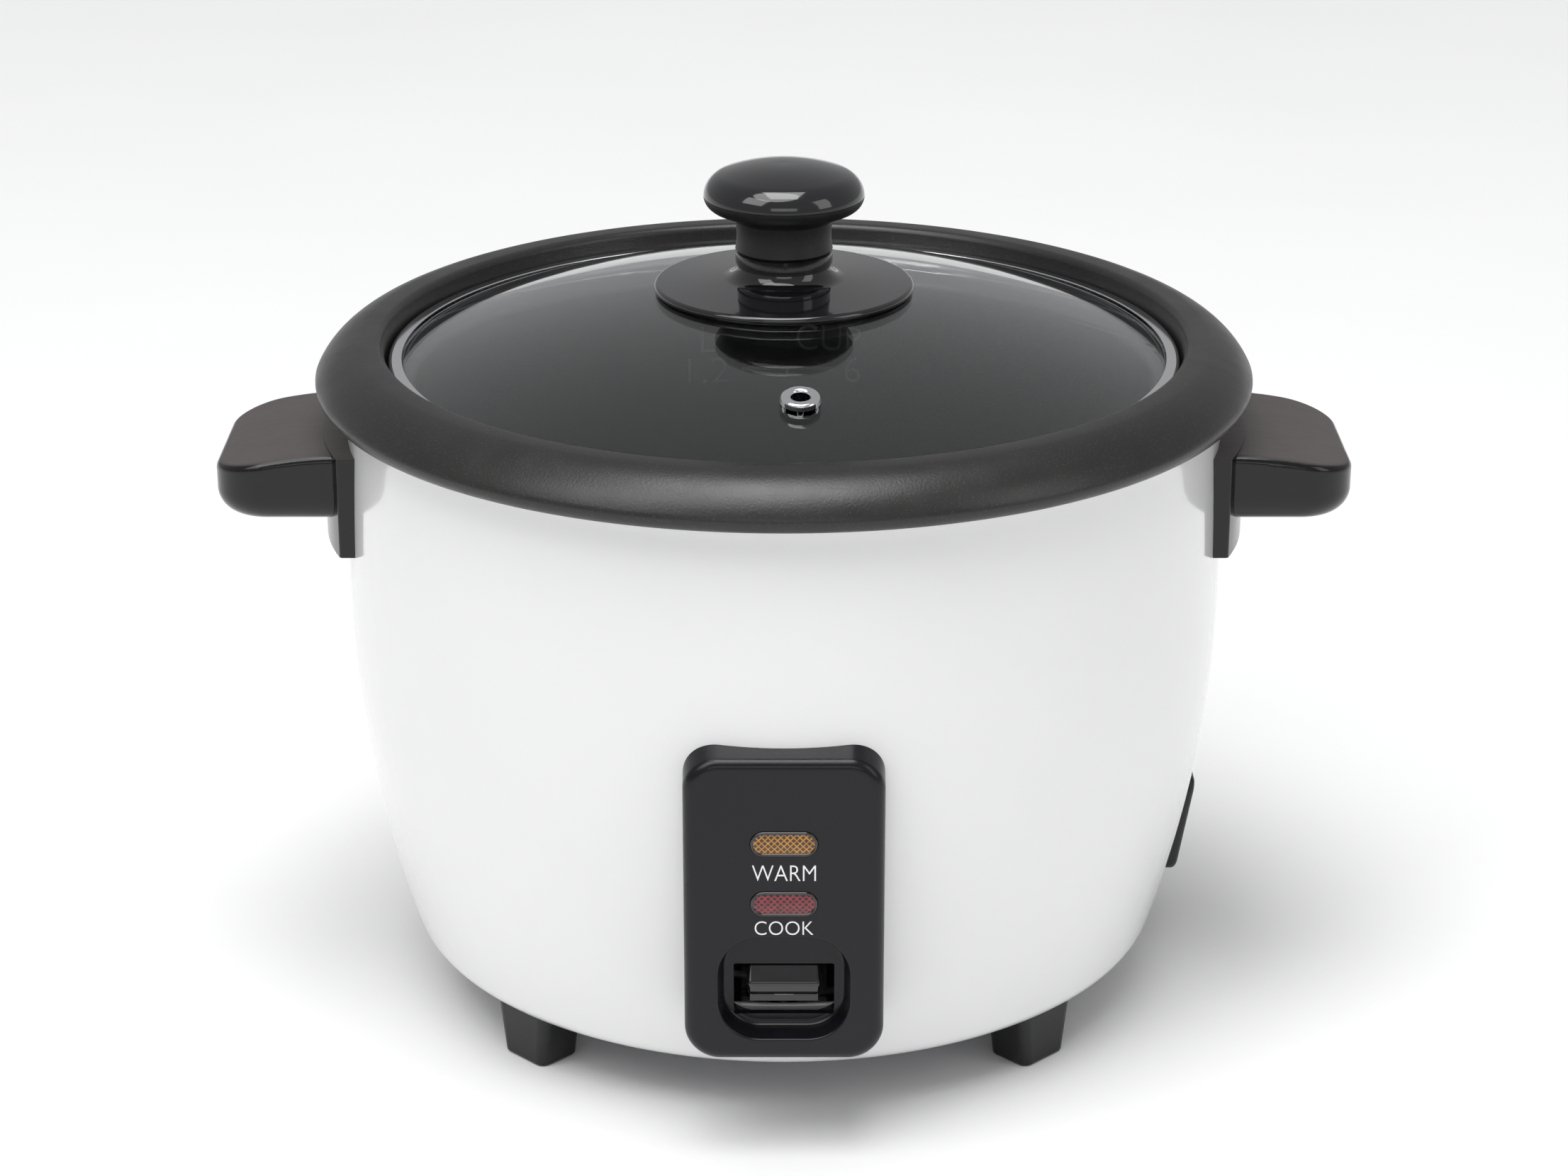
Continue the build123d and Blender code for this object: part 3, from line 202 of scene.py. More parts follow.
def crosshatched_with_painted_shade(material, pitch, relief, dark, bright):
    """Bright ridges in a raised diamond pattern over X and Z, as on a signal lens, with painted shade in the
    low diamonds between them.
    """
    tree = material.node_tree
    shader = tree.nodes["Principled BSDF"]
    place = add(tree, "ShaderNodeTexCoord").outputs["Object"]
    waves = []
    for lean in (1, -1):
        inputs = {"Vector": place, "Rotation": (0, lean * math.radians(45), 0)}
        turned = add(tree, "ShaderNodeMapping", inputs).outputs["Vector"]
        # a wave texture repeats every pi / (10 * scale)
        wave = add(tree, "ShaderNodeTexWave", {"Vector": turned, "Scale": math.pi / pitch / 10},
                   wave_profile="TRI", bands_direction="X")
        waves.append(wave.outputs["Fac"])
    height = add(tree, "ShaderNodeMath", {0: waves[0], 1: waves[1]}, operation="MAXIMUM").outputs["Value"]
    uneven = remap(tree, noise(tree, place, 500, detail=2), -0.12, 0.12, 0.3, 0.7)
    height = add(tree, "ShaderNodeMath", {0: height, 1: uneven}, operation="ADD").outputs["Value"]
    # painted shade: the lower the relief, the darker the colour, so the hollows between the ridges are
    # shaded
    tones = blend_tones(tree, height, [(0.58, dark), (0.92, bright)])
    tree.links.new(tones, shader.inputs["Base Color"])
    bump = add(tree, "ShaderNodeBump", {"Height": height, "Distance": relief})
    tree.links.new(bump.outputs["Normal"], shader.inputs["Normal"])
    return material


def sheened_on_top(material, color, roughness):
    """Gives the faces that look up another tone and gloss; the tone is a painted sheen of the light from
    above.
    """
    tree = material.node_tree
    shader = tree.nodes["Principled BSDF"]
    facing = add(tree, "ShaderNodeSeparateXYZ", {0: add(tree, "ShaderNodeTexCoord").outputs["Normal"]})
    share = remap(tree, facing.outputs["Z"], 0.0, 1.0, 0.72, 0.93)
    base = shader.inputs["Base Color"].links[0].from_socket
    mix = add(tree, "ShaderNodeMix", {0: share, 6: base, 7: (*color, 1)}, data_type="RGBA")
    tree.links.new(mix.outputs[2], shader.inputs["Base Color"])
    dull = shader.inputs["Roughness"].links[0].from_socket
    extra = add(tree, "ShaderNodeMath", {0: share, 1: roughness}, operation="MULTIPLY").outputs["Value"]
    total = add(tree, "ShaderNodeMath", {0: dull, 1: extra}, operation="ADD").outputs["Value"]
    tree.links.new(total, shader.inputs["Roughness"])
    return material


def shaded_by_height(material, low, high, low_color, high_color):
    """Shifts a finish from one colour to another between two heights, as a painted shade."""
    tree = material.node_tree
    shader = tree.nodes["Principled BSDF"]
    base = shader.inputs["Base Color"].links[0].from_socket
    height = add(tree, "ShaderNodeSeparateXYZ", {0: add(tree, "ShaderNodeTexCoord").outputs["Object"]})
    share = remap(tree, height.outputs["Z"], 0.0, 1.0, low, high)
    height_shade = blend_tones(tree, share, [(0.0, low_color), (1.0, high_color)])
    mix = add(tree, "ShaderNodeMix", {0: 1.0, 6: base, 7: height_shade}, data_type="RGBA", blend_type="MULTIPLY")
    tree.links.new(mix.outputs[2], shader.inputs["Base Color"])
    return material


BLACK = (0.006, 0.006, 0.007)
looks = {
    "enamel": finish("enamel", (0.79, 0.79, 0.79), 0.17, tone=0.008, gloss=0.03, grain=260, relief=0.00001,
                     Coat_Weight=0.7, Coat_Roughness=0.04),
    "liner": finish("liner", (0.92, 0.92, 0.922), 0.36, tone=0.012, gloss=0.06, grain=900, relief=0.00002),
    "nonstick": speckled(finish("nonstick", (0.012, 0.0115, 0.011), 0.35, tone=0.15, gloss=0.04, grain=1500,
                                relief=0.00004, scratches=0.05), (0.045, 0.043, 0.041), 1300, 0.12),
    "mark": finish("mark", (0.075, 0.074, 0.072), 0.30, tone=0.10, grain=1500, relief=0.00002),
    # the pot's outside: painted shade, darker towards its top
    "pot_outside": shaded_by_height(finish("pot_outside", (0.72, 0.72, 0.73), 0.46, tone=0.04, gloss=0.04, grain=2600,
                                relief=0.00003, scratches=0.08, Metallic=0.55),
                         110 * MM, 170 * MM, (1.0, 1.0, 1.0), (0.50, 0.50, 0.52)),
    # handles: their faces that look up get a painted sheen, a lighter warm grey
    "handle": sheened_on_top(finish("handle", (0.0045, 0.0045, 0.0045), 0.15, tone=0.12, gloss=0.04, grain=1600,
                            relief=0.00001, scratches=0.12, Specular_IOR_Level=0.4),
                     (0.062, 0.055, 0.052), 0.30),
    "panel": finish("panel", (0.0056, 0.0053, 0.0074), 0.24, tone=0.12, gloss=0.04, grain=1700,
                    relief=0.000012, Specular_IOR_Level=0.32),
    "gloss": finish("gloss", BLACK, 0.09, tone=0.10, gloss=0.02, grain=300, relief=0.00001, Coat_Weight=0.5,
                    Coat_Roughness=0.03),
    "satin": finish("satin", (0.010, 0.010, 0.011), 0.38, tone=0.12, gloss=0.05, grain=1500, relief=0.00003,
                    Specular_IOR_Level=0.4),
    "strip": finish("strip", (0.055, 0.055, 0.052), 0.35, tone=0.10, grain=1500, relief=0.00002),
    "tab": finish("tab", (0.26, 0.26, 0.25), 0.35, tone=0.10, grain=1500, relief=0.00002, Metallic=0.6),
    "bezel": finish("bezel", (0.010, 0.006, 0.005), 0.07, tone=0.10, gloss=0.02, grain=300, relief=0.000005,
                    Coat_Weight=0.6, Coat_Roughness=0.02),
    # lamp lenses: painted shade darkens the low diamonds of their pattern
    "amber": crosshatched_with_painted_shade(finish("amber", (0.5, 0.2, 0.02), 0.18, relief=0, Coat_Weight=0.5,
                                 Coat_Roughness=0.05),
                          LENS_PITCH, 0.00012, (0.050, 0.020, 0.002), (0.50, 0.22, 0.025)),
    "red": crosshatched_with_painted_shade(finish("red", (0.3, 0.02, 0.03), 0.18, relief=0, Coat_Weight=0.5,
                               Coat_Roughness=0.05),
                        LENS_PITCH, 0.00012, (0.040, 0.003, 0.005), (0.28, 0.022, 0.036)),
    "glass": finish("glass", (0.955, 0.985, 0.978), 0.012, tone=0.004, gloss=0.01, grain=60, relief=0.00001,
                    Transmission_Weight=1.0, IOR=1.5),
    "polished": finish("polished", (0.78, 0.78, 0.80), 0.11, tone=0.03, gloss=0.04, grain=1200,
                       relief=0.000004, Metallic=1.0),
    "steel": finish("steel", (0.52, 0.52, 0.54), 0.34, tone=0.08, gloss=0.08, grain=900, relief=0.00002,
                    scratches=0.1, Metallic=1.0),
    "cast": finish("cast", (0.62, 0.62, 0.62), 0.38, tone=0.06, gloss=0.07, grain=700, relief=0.00003,
                   Metallic=0.9),
    "sheath": finish("sheath", (0.24, 0.22, 0.21), 0.45, tone=0.25, patch=60, gloss=0.08, Metallic=0.9),
    "ferrite": finish("ferrite", (0.035, 0.035, 0.04), 0.55, tone=0.2, relief=0.00005),
    "board": finish("board", (0.32, 0.21, 0.09), 0.5, tone=0.12, relief=0.00003),
    "brass": finish("brass", (0.72, 0.52, 0.22), 0.25, tone=0.08, gloss=0.06, Metallic=1.0),
    "nylon": finish("nylon", (0.72, 0.72, 0.68), 0.4, tone=0.04),
    "silicone": finish("silicone", (0.60, 0.60, 0.57), 0.5, tone=0.05),
    "ink": finish("ink", (0.80, 0.80, 0.80), 0.45, tone=0.03, grain=2500, relief=0.00001),
}

slot_looks = {
    "white_paint": "enamel", "liner_paint": "liner", "pot_metal": "pot_outside", "black_plastic": "satin",
    "amber_lens": "amber", "red_lens": "red", "clear_glass": "glass", "polished_steel": "polished",
    "plain_steel": "steel", "cast_aluminium": "cast", "element_sheath": "sheath", "ferrite": "ferrite",
    "fibre_board": "board", "brass": "brass", "white_nylon": "nylon", "silicone": "silicone",
}
node_looks = {
    "handle_left": "handle", "handle_right": "handle", "control_panel": "panel", "cook_switch": "gloss",
    "knob_base": "gloss", "knob_top": "gloss", "feet": "satin",
}
for part in frame["record"]["subparts"]:
    node = frame["nodes"][part["node"]]
    look = node_looks.get(part["node"], slot_looks[part["material_slot"]])
    node.data.materials.clear()
    node.data.materials.append(looks[look])


# ------------------------------------------------------------------ mesh helpers
def new_piece(name, vertices, faces, body, materials, smooth=True):
    """A mesh piece from its vertices and faces that rides on a CAD body."""
    mesh = bpy.data.meshes.new(name)
    mesh.from_pydata(vertices, [], faces)
    mesh.update()
    for material in materials:
        mesh.materials.append(looks[material])
    mesh.polygons.foreach_set("use_smooth", [smooth] * len(mesh.polygons))
    piece = bpy.data.objects.new(name, mesh)
    bpy.context.scene.collection.objects.link(piece)
    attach(piece, body)
    return piece


def rounded(corners):
    """A polyline through (x, y, corner radius) points, with each corner turned into a fine arc."""
    path = []
    for i, (x, y, radius) in enumerate(corners):
        here = Vector((x, y))
        if not radius or i in (0, len(corners) - 1):
            path.append(here)
            continue
        back = (Vector(corners[i - 1][:2]) - here).normalized()
        ahead = (Vector(corners[i + 1][:2]) - here).normalized()
        half = back.angle(ahead) / 2
        centre = here + (back + ahead).normalized() * radius / math.sin(half)
        reach = radius / math.tan(half)
        start, end = here + back * reach - centre, here + ahead * reach - centre
        turn = start.angle_signed(end)
        steps = max(2, math.ceil(abs(turn) / ARC_STEP))
        for k in range(steps + 1):
            a = -turn * k / steps
            c, s = math.cos(a), math.sin(a)
            path.append(centre + Vector((start.x * c - start.y * s, start.x * s + start.y * c)))
    return path


def arc_through(start, middle, end, steps):
    """Points on the circle through three points, from the first to the last."""
    (ax, ay), (bx, by), (cx, cy) = start, middle, end
    d = 2 * (ax * (by - cy) + bx * (cy - ay) + cx * (ay - by))
    a2, b2, c2 = ax * ax + ay * ay, bx * bx + by * by, cx * cx + cy * cy
    centre = Vector(((a2 * (by - cy) + b2 * (cy - ay) + c2 * (ay - by)) / d,
                     (a2 * (cx - bx) + b2 * (ax - cx) + c2 * (bx - ax)) / d))
    first, via, last = (math.atan2(y - centre.y, x - centre.x) for x, y in (start, middle, end))
    radius = (Vector(start) - centre).length
    sweep = (last - first) % math.tau
    if (via - first) % math.tau > sweep:
        sweep -= math.tau
    angles = (first + sweep * k / steps for k in range(steps + 1))
    return [centre + radius * Vector((math.cos(a), math.sin(a))) for a in angles]


def tangent_arc(start, along, end, steps):
    """Points after start on the arc that leaves it along a direction and reaches end.

    Also gives the arc's direction at its end.
    """
    chord = end - start
    half = math.atan2(along.x * chord.y - along.y * chord.x, along.dot(chord))
    if abs(half) < 1e-6:
        return [start + chord * k / steps for k in range(1, steps + 1)], along
    side = Vector((-along.y, along.x))
    radius = chord.length_squared / (2 * side.dot(chord))
    centre = start + side * radius
    turned = []
    for k in range(1, steps + 1):
        c, s = math.cos(2 * half * k / steps), math.sin(2 * half * k / steps)
        arm = start - centre
        turned.append(centre + Vector((arm.x * c - arm.y * s, arm.x * s + arm.y * c)))
    c, s = math.cos(2 * half), math.sin(2 * half)
    return turned, Vector((along.x * c - along.y * s, along.x * s + along.y * c))


def fan(centre, radius, first, sweep, steps):
    """Points on an arc about a centre."""
    angles = (first + sweep * k / steps for k in range(steps + 1))
    return [Vector(centre) + radius * Vector((math.cos(a), math.sin(a))) for a in angles]


def beside(path, distance):
    """The path moved sideways, to the right of its own direction."""
    moved = []
    for i, point in enumerate(path):
        before, after = path[max(i - 1, 0)], path[min(i + 1, len(path) - 1)]
        along = (after - before).normalized()
        moved.append(point + Vector((along.y, -along.x)) * distance)
    return moved


def thinned(path, gap):
    """The path without points closer together than gap."""
    kept = [path[0]]
    for point in path[1:]:
        if (point - kept[-1]).length > gap:
            kept.append(point)
    return kept


def lathe(name, outline, body, materials, change_at=None):
    """A turned piece from an outline of (radius, height) points.

    From the outline's step change_at on, it takes the second material.
    """
    vertices, rings = [], []
    for radius, height in outline:
        if radius < 1e-6:
            rings.append([len(vertices)] * LATHE_STEPS)
            vertices.append((0, 0, height))
            continue
        rings.append(list(range(len(vertices), len(vertices) + LATHE_STEPS)))
        for k in range(LATHE_STEPS):
            a = math.tau * k / LATHE_STEPS
            vertices.append((radius * math.cos(a), radius * math.sin(a), height))
    faces, second = [], []
    for i in range(len(rings)):
        low, high = rings[i], rings[(i + 1) % len(rings)]
        if low[0] == low[1] and high[0] == high[1]:
            continue
        for k in range(LATHE_STEPS):
            n = (k + 1) % LATHE_STEPS
            corners = dict.fromkeys((low[k], low[n], high[n], high[k]))
            faces.append(tuple(corners))
            second.append(change_at is not None and i >= change_at)
    piece = new_piece(name, vertices, faces, body, materials)
    if change_at is not None:
        piece.data.polygons.foreach_set("material_index", [int(s) for s in second])
    return piece


def turned_sheet(name, path, thickness, openings, body, look):
    """A turned sheet; openings = (first step, last step, lowest, highest) are cut through it."""
    outline = path + beside(path, thickness)[::-1]
    count, rings = len(path), len(outline)

    def vertex(ring, step):
        return ring % rings * LATHE_STEPS + step % LATHE_STEPS

    def opened(ring, step):
        heights = (outline[ring].y, outline[ring + 1].y)
        return any(first <= step % LATHE_STEPS < last and low < min(heights) and max(heights) < high
                   for first, last, low, high in openings)

    angles = [math.tau * k / LATHE_STEPS for k in range(LATHE_STEPS)]
    vertices = [(radius * math.cos(a), radius * math.sin(a), z) for radius, z in outline for a in angles]
    faces = []
    for ring in range(rings):
        for step in range(LATHE_STEPS):
            mirrored = ring if ring < count else rings - 2 - ring
            if ring not in (count - 1, rings - 1) and opened(mirrored, step):
                continue
            faces.append((vertex(ring, step), vertex(ring, step + 1), vertex(ring + 1, step + 1),
                          vertex(ring + 1, step)))
    for ring in range(count - 1):
        for step in range(LATHE_STEPS):
            if not opened(ring, step):
                continue
            around = (((ring, step), (ring + 1, step), (ring, step - 1)),
                      ((ring, step + 1), (ring + 1, step + 1), (ring, step + 1)),
                      ((ring, step), (ring, step + 1), (ring - 1, step)),
                      ((ring + 1, step), (ring + 1, step + 1), (ring + 1, step)))
            for (r0, s0), (r1, s1), beyond in around:
                if not opened(*beyond):
                    faces.append((vertex(r0, s0), vertex(r1, s1), vertex(rings - 1 - r1, s1),
                                  vertex(rings - 1 - r0, s0)))
    piece = new_piece(name, vertices, faces, body, [look])
    tidy_faces(piece)
    return piece


def tidy_faces(piece):
    """Joins doubled points and turns every face outwards."""
    work = bmesh.new()
    work.from_mesh(piece.data)
    bmesh.ops.remove_doubles(work, verts=work.verts, dist=0.001 * MM)
    bmesh.ops.recalc_face_normals(work, faces=work.faces)
    work.to_mesh(piece.data)
    work.free()


# ------------------------------------------------------------------ body shell and well
shell_path = [Vector((LIP_RADIUS, SHELL_BOTTOM))]
shell_path += fan((EDGE_CENTRE, SHELL_BOTTOM + EDGE_ROUND), EDGE_ROUND, -math.pi / 2, EDGE_SWEEP, 12)
heading = Vector((math.cos(EDGE_SWEEP), math.sin(EDGE_SWEEP)))
for radius, height, steps in SHELL_SIDE:
    arc, heading = tangent_arc(shell_path[-1], heading, Vector((radius, height)) * MM, steps)
    shell_path += arc
arc, heading = tangent_arc(shell_path[-1], heading, Vector((RIM_RADIUS, RIM_TOP - ROLL_RADIUS)), 4)
shell_path += arc
roll = (RIM_RADIUS - ROLL_RADIUS, RIM_TOP - ROLL_RADIUS)
shell_path += fan(roll, ROLL_RADIUS, 0, math.pi, 24)[1:]
flange = RIM_RADIUS - 2 * ROLL_RADIUS
shell_path += [Vector((flange, (roll[1] + FLANGE_BOTTOM) / 2)), Vector((flange, FLANGE_BOTTOM))]
front_step = LATHE_STEPS * 3 // 4
panel_cut = (front_step + PANEL_CUT[0], front_step + PANEL_CUT[1], *PANEL_CUT[2:])
shell = turned_sheet("shell", shell_path, -SHEET, [panel_cut, INLET_CUT], "body", "enamel")
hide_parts("outer_shell")

well_path = rounded([
    (WELL_HOLE, WELL_FLOOR, 0),
    (WELL_FOOT, WELL_FLOOR, WELL_CORNER),
    (WELL_WALL, WELL_SHOULDER, WELL_CORNER),
    (WELL_WALL, WELL_TOP, 0),
])
well = turned_sheet("well", well_path, SHEET, [], "body", "liner")
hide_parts("inner_liner")


# ------------------------------------------------------------------ pot
lean = 2 * math.atan2(POT_WALL - POT_FOOT[0], POT_BEND - POT_FOOT[1])
corner_radius = (POT_FOOT[1] - POT_FLOOR) / (1 - math.sin(lean))
inside = [Vector((0, POT_FLOOR)), Vector((POT_FOOT[0] - corner_radius * math.cos(lean), POT_FLOOR))]
arc, heading = tangent_arc(inside[-1], Vector((1, 0)), Vector(POT_FOOT), 16)
inside += arc
arc, heading = tangent_arc(inside[-1], heading, Vector((POT_WALL, POT_BEND)), 16)
inside += arc
inside += rounded([
    (POT_WALL, POT_BEND + 1 * MM, 0),
    (POT_WALL, POT_LEDGE - LEDGE_DROP, 1.9 * MM),
    (POT_MOUTH - 1.1 * MM, POT_LEDGE, 1.5 * MM),
    (POT_MOUTH, POT_TOP, 2.0 * MM),
    (LIP_CREST, POT_TOP, 0),
])
brow = arc_through((LIP_CREST, POT_TOP), LIP_SHOULDER, (LIP_EDGE, LIP_EDGE_HEIGHT), 14)
curl = arc_through((LIP_EDGE, LIP_EDGE_HEIGHT), LIP_UNDER, LIP_END, 8)
inside = thinned(inside + brow[1:] + curl[1:], 0.05 * MM)
outside = thinned(beside(inside, POT_SHEET), 0.05 * MM)
outside[0].x = 0
pot = lathe("pot", inside + outside[::-1], "pot", ["nonstick", "pot_outside"],
            change_at=len(inside))
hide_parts("inner_pot")


# ------------------------------------------------------------------ steel band of the lid
lip, inner = BAND_RADIUS - BAND_REACH, BAND_RADIUS - BAND_WALL
band = rounded([
    (lip, BAND_HIGH - BAND_TOP_SHEET, 0),
    (lip, BAND_HIGH, 0.25 * MM),
    (BAND_RADIUS, BAND_HIGH, 1.3 * MM),
    (BAND_RADIUS, BAND_LOW, 1.1 * MM),
    (lip, BAND_LOW, 0.25 * MM),
    (lip, BAND_LOW + BAND_LOW_SHEET, 0),
    (inner, BAND_LOW + BAND_LOW_SHEET, 0.2 * MM),
    (inner, BAND_HIGH - BAND_TOP_SHEET, 0.2 * MM),
])
ring = lathe("lid_band", thinned(band, 0.02 * MM), "lid", ["polished"])
tidy_faces(ring)
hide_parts("lid_rim")


# ------------------------------------------------------------------ lamp lenses
def ridge(distance):
    """Height, 0 to 1, of a row of ridges."""
    rows = distance / LENS_PITCH
    return 2 * abs(rows - round(rows))


def lens(name, look, node):
    """A lamp lens: a smooth dark edge round a shallow dome with a raised diamond pattern."""
    low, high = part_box(node)
    height = (low.z + high.z) / 2
    radius = LENS_SIZE[1] / 2
    spine = LENS_SIZE[0] / 2 - radius
    arc_steps, run_steps = 32, 44
    outline = [(spine, math.pi * (k / arc_steps - 0.5)) for k in range(arc_steps)]
    outline += [(spine - 2 * spine * k / run_steps, math.pi / 2) for k in range(run_steps)]
    outline += [(-spine, math.pi * (k / arc_steps + 0.5)) for k in range(arc_steps)]
    outline += [(-spine + 2 * spine * k / run_steps, -math.pi / 2) for k in range(run_steps)]
    # rings as (share of the radius, mm in front of the panel)
    edge = [(1.0, -1.9), (1.0, 0.05), (0.985, 0.25), (0.95, 0.42), (0.90, 0.5), (0.85, 0.46), (0.80, 0.30),
            (LENS_FIELD, FIELD_RISE)]
    inner = [(LENS_FIELD * (1 - k / LENS_RINGS), None) for k in range(1, LENS_RINGS + 1)]
    vertices = []
    for share, out in edge + inner:
        for centre, angle in outline:
            x, z = centre + share * radius * math.cos(angle), share * radius * math.sin(angle)
            if out is None:
                slope = math.sqrt(0.5)
                pattern = max(ridge((x + z + height) * slope), ridge((x - z - height) * slope))
                rise = FIELD_RISE + FIELD_CROWN * (1 - (share / LENS_FIELD) ** 2) + RIDGE_RISE * pattern
            else:
                rise = out
            vertices.append((x, PANEL_FRONT - rise * MM, z + height))
    around, rows = len(outline), len(edge) + len(inner)
    faces = [(r * around + k, r * around + (k + 1) % around, (r + 1) * around + (k + 1) % around,
              (r + 1) * around + k) for r in range(rows - 1) for k in range(around)]
    faces.append(tuple(range(around)))
    piece = new_piece(name, vertices, faces, "body",
                      ["bezel", look])
    for index, polygon in enumerate(piece.data.polygons):
        polygon.material_index = int(len(edge) - 1 <= index // around < rows)
    piece.data.polygons[len(faces) - 1].material_index = 0
    tidy_faces(piece)
    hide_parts(node)


lens("lens_warm", "amber", "warm_lens")
lens("lens_cook", "red", "cook_lens")


# ------------------------------------------------------------------ trim under the paddle
def bar(name, left, right, low, high, front, back, bevel, look, body):
    """A bar with rounded edges between two x, z and y values."""
    vertices = [(x, y, z) for x in (left, right) for y in (front, back) for z in (low, high)]
    faces = [(0, 1, 3, 2), (4, 6, 7, 5), (0, 4, 5, 1), (2, 3, 7, 6), (0, 2, 6, 4), (1, 5, 7, 3)]
    piece = new_piece(name, vertices, faces, body, [look])
    work = bmesh.new()
    work.from_mesh(piece.data)
    bmesh.ops.recalc_face_normals(work, faces=work.faces)
    bmesh.ops.bevel(work, geom=list(work.edges), offset=bevel, segments=3, profile=0.5, affect="EDGES")
    work.to_mesh(piece.data)
    work.free()
    return piece


bar("paddle_strip", -8.1 * MM, 8.1 * MM, 41.1 * MM, 42.4 * MM, PADDLE_SKIRT_FRONT - STRIP_PROUD,
    PADDLE_SKIRT_FRONT + TRIM_SUNK, STRIP_PROUD, "strip", "lever")
bar("paddle_tab", -2.4 * MM, 2.4 * MM, 41.0 * MM, 42.5 * MM, PADDLE_SKIRT_FRONT - TAB_PROUD,
    PADDLE_SKIRT_FRONT + TRIM_SUNK, STRIP_PROUD, "tab", "lever")


# ------------------------------------------------------------------ springs
def stretchy(name, node):
    """A fixed copy of a spring that runs from the body, at a fixed height, to the body that moves its other
    end.
    """
    piece = bpy.data.objects.new(name, frame["nodes"][node].data.copy())
    bpy.context.scene.collection.objects.link(piece)
    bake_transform(piece)
    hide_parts(node)


stretchy("spring_release", "release_spring")
stretchy("spring_sensor", "sensor_spring")


# ------------------------------------------------------------------ lettering
def lettering(name, words, box, place, body, look, depth, thinning):
    """Raised letters that fill box = (left, right, low, high).

    place(x, height, depth) sets each point on the surface.
    """
    left, right, low, high = box
    curve = bpy.data.curves.new(name, "FONT")
    curve.body = words
    curve.resolution_u = 6
    curve.offset = thinning
    flat = bpy.data.objects.new(name + "_flat", curve)
    bpy.context.scene.collection.objects.link(flat)
    bpy.context.view_layer.update()
    mesh = bpy.data.meshes.new_from_object(flat)
    bpy.data.objects.remove(flat)
    xs, ys = [v.co.x for v in mesh.vertices], [v.co.y for v in mesh.vertices]
    first_x, first_y = min(xs), min(ys)
    wide, tall = max(xs) - first_x, max(ys) - first_y
    top = [(left + (x - first_x) / wide * (right - left), low + (y - first_y) / tall * (high - low))
           for x, y in zip(xs, ys)]
    count = len(top)
    faces = [tuple(p.vertices) for p in mesh.polygons]
    uses = {}
    for face in faces:
        for i, a in enumerate(face):
            b = face[(i + 1) % len(face)]
            uses[frozenset((a, b))] = None if frozenset((a, b)) in uses else (a, b)
    walls = [(a, a + count, b + count, b) for a, b in filter(None, uses.values())]
    back = [tuple(v + count for v in reversed(face)) for face in faces]
    bpy.data.meshes.remove(mesh)
    vertices = [place(x, z, depth) for x, z in top] + [place(x, z, -depth) for x, z in top]
    return new_piece(name, vertices, faces + walls + back, body, [look], smooth=False)


def on_panel(x, z, out):
    return x, PANEL_FRONT - out, z


def on_pot_wall(x, z, out):
    angle, radius = x / POT_WALL, POT_WALL - out
    return radius * math.sin(angle), radius * math.cos(angle), z


def mm_box(left, right, low, high):
    return left * MM, right * MM, low * MM, high * MM


INK, EMBOSS = 0.06 * MM, 0.35 * MM
PANEL_THINNING, POT_THINNING = -0.012, -0.016     # strokes drawn in, as a share of the letters' height
lettering("word_warm", "WARM", mm_box(-7.8, 7.8, 76.9, 81.1), on_panel, "body", "ink", INK,
          PANEL_THINNING)
lettering("word_cook", "COOK", mm_box(-7.2, 7.2, 62.3, 66.0), on_panel, "body", "ink", INK,
          PANEL_THINNING)
for name, words, box in (
    ("mark_litres", "L", mm_box(-24.4, -20.1, 145.5, 153.0)),
    ("mark_cups", "CUP", mm_box(3.7, 22.5, 145.5, 153.0)),
    ("mark_volume", "1.2", mm_box(-28.4, -16.2, 136.2, 143.7)),
    ("mark_count", "6", mm_box(17.8, 22.3, 136.2, 143.7)),
):
    lettering(name, words, box, on_pot_wall, "pot", "mark", EMBOSS, POT_THINNING)


def wall_strip(name, left, right, low, high):
    """A raised strip on the pot's wall that follows its curve."""
    steps = max(2, round((right - left) / MM))
    across = [left + (right - left) * k / steps for k in range(steps + 1)]
    vertices = [on_pot_wall(x, z, out) for x in across for out in (EMBOSS, -EMBOSS) for z in (low, high)]
    faces = [(0, 1, 3, 2), (4 * steps, 4 * steps + 2, 4 * steps + 3, 4 * steps + 1)]
    for k in range(steps):
        for a, b in ((0, 1), (1, 3), (3, 2), (2, 0)):
            faces.append((4 * k + a, 4 * k + b, 4 * k + 4 + b, 4 * k + 4 + a))
    tidy_faces(new_piece(name, vertices, faces, "pot", ["mark"], smooth=False))


wall_strip("mark_level", -12.5 * MM, 14.3 * MM, 139.5 * MM, 140.5 * MM)
wall_strip("mark_tick", 0.4 * MM, 1.4 * MM, 137.0 * MM, 139.6 * MM)


# ------------------------------------------------------------------ floor, light and camera
def stage_piece(name, vertices, faces, material):
    mesh = bpy.data.meshes.new(name)
    mesh.from_pydata(vertices, [], faces)
    mesh.materials.append(material)
    piece = bpy.data.objects.new(name, mesh)
    bpy.context.scene.collection.objects.link(piece)
    return piece


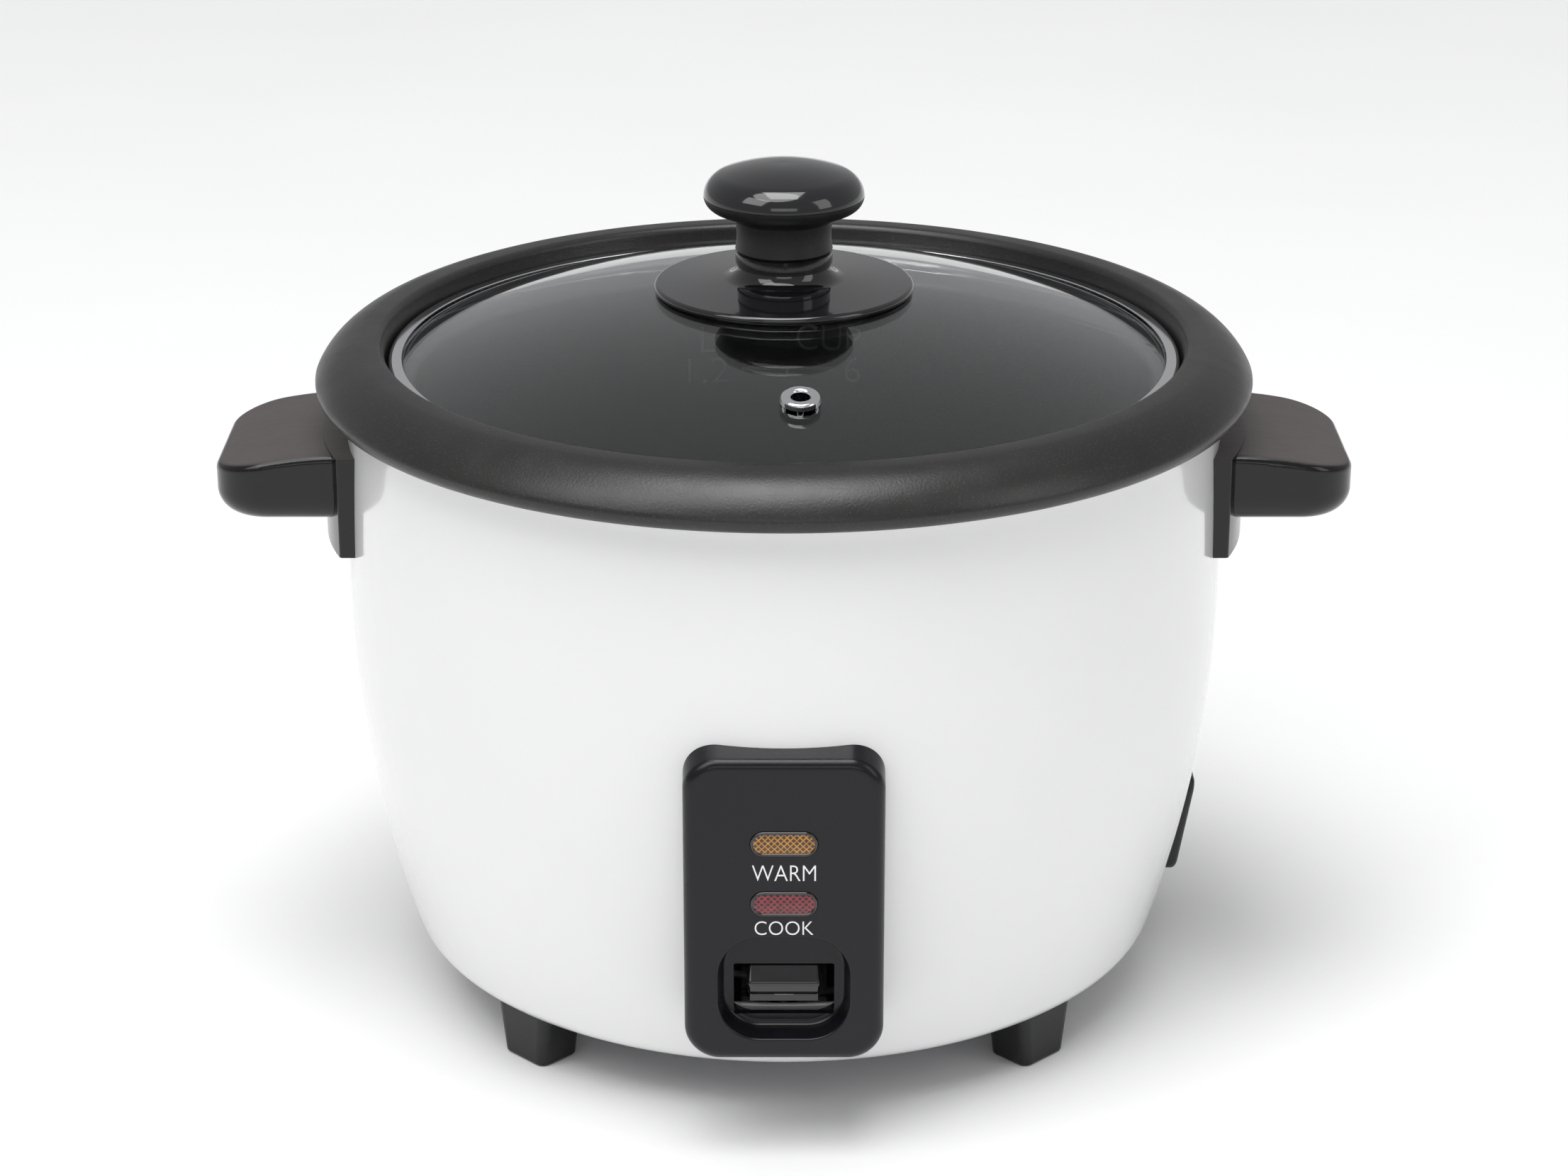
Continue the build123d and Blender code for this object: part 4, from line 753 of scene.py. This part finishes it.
FLOOR_HALF = 60.0
floor_paint = finish("floor_paint", (0.86, 0.86, 0.86), 0.6, tone=0.006, patch=1.5, relief=0)
stage_piece("floor", [(x * FLOOR_HALF, y * FLOOR_HALF, 0) for x, y in ((-1, -1), (1, -1), (1, 1), (-1, 1))],
            [(0, 1, 2, 3)], floor_paint)


def softbox(name, place, target, size, power):
    light = bpy.data.lights.new(name, "AREA")
    light.shape = "RECTANGLE"
    light.size, light.size_y = size
    light.energy = power
    lamp = bpy.data.objects.new(name, light)
    lamp.location = place
    lamp.rotation_euler = (Vector(target) - Vector(place)).to_track_quat("-Z", "Y").to_euler()
    bpy.context.scene.collection.objects.link(lamp)


world = bpy.data.worlds.new("studio")
bpy.context.scene.world = world
world.use_nodes = True
world.node_tree.nodes["Background"].inputs["Color"].default_value = (0.98, 0.985, 1.0, 1)
world.node_tree.nodes["Background"].inputs["Strength"].default_value = 0.40

# a broad even light over the whole floor, and softboxes for the reflections
sky = bpy.data.lights.new("ceiling", "SUN")
sky.energy = 1.55
sky.angle = math.radians(45)
ceiling = bpy.data.objects.new("ceiling", sky)
ceiling.rotation_euler = (math.radians(14), math.radians(-8), 0)
bpy.context.scene.collection.objects.link(ceiling)

middle = (0, 0, 0.1)
softbox("key", (-1.1, -0.9, 1.5), middle, (1.0, 0.9), 8)
softbox("fill", (1.3, -0.7, 0.9), middle, (0.6, 1.0), 3)
softbox("overhead", (0, -0.15, 1.7), middle, (0.8, 1.0), 9)
softbox("front", (0.0, -1.8, 0.75), middle, (1.2, 0.4), 2)

bpy.context.scene.view_settings.view_transform = "Standard"

CAMERA_PLACE = (0, -0.950, 0.4706)
CAMERA_TARGET = (0, 0, 0.107)
CAMERA_LENS = 86.0
camera_data = bpy.data.cameras.new("camera")
camera_data.lens = CAMERA_LENS
camera_data.clip_start = 0.05
camera = bpy.data.objects.new("camera", camera_data)
camera.location = CAMERA_PLACE
camera.rotation_euler = (Vector(CAMERA_TARGET) - Vector(CAMERA_PLACE)).to_track_quat("-Z", "Y").to_euler()
bpy.context.scene.collection.objects.link(camera)
bpy.context.scene.camera = camera
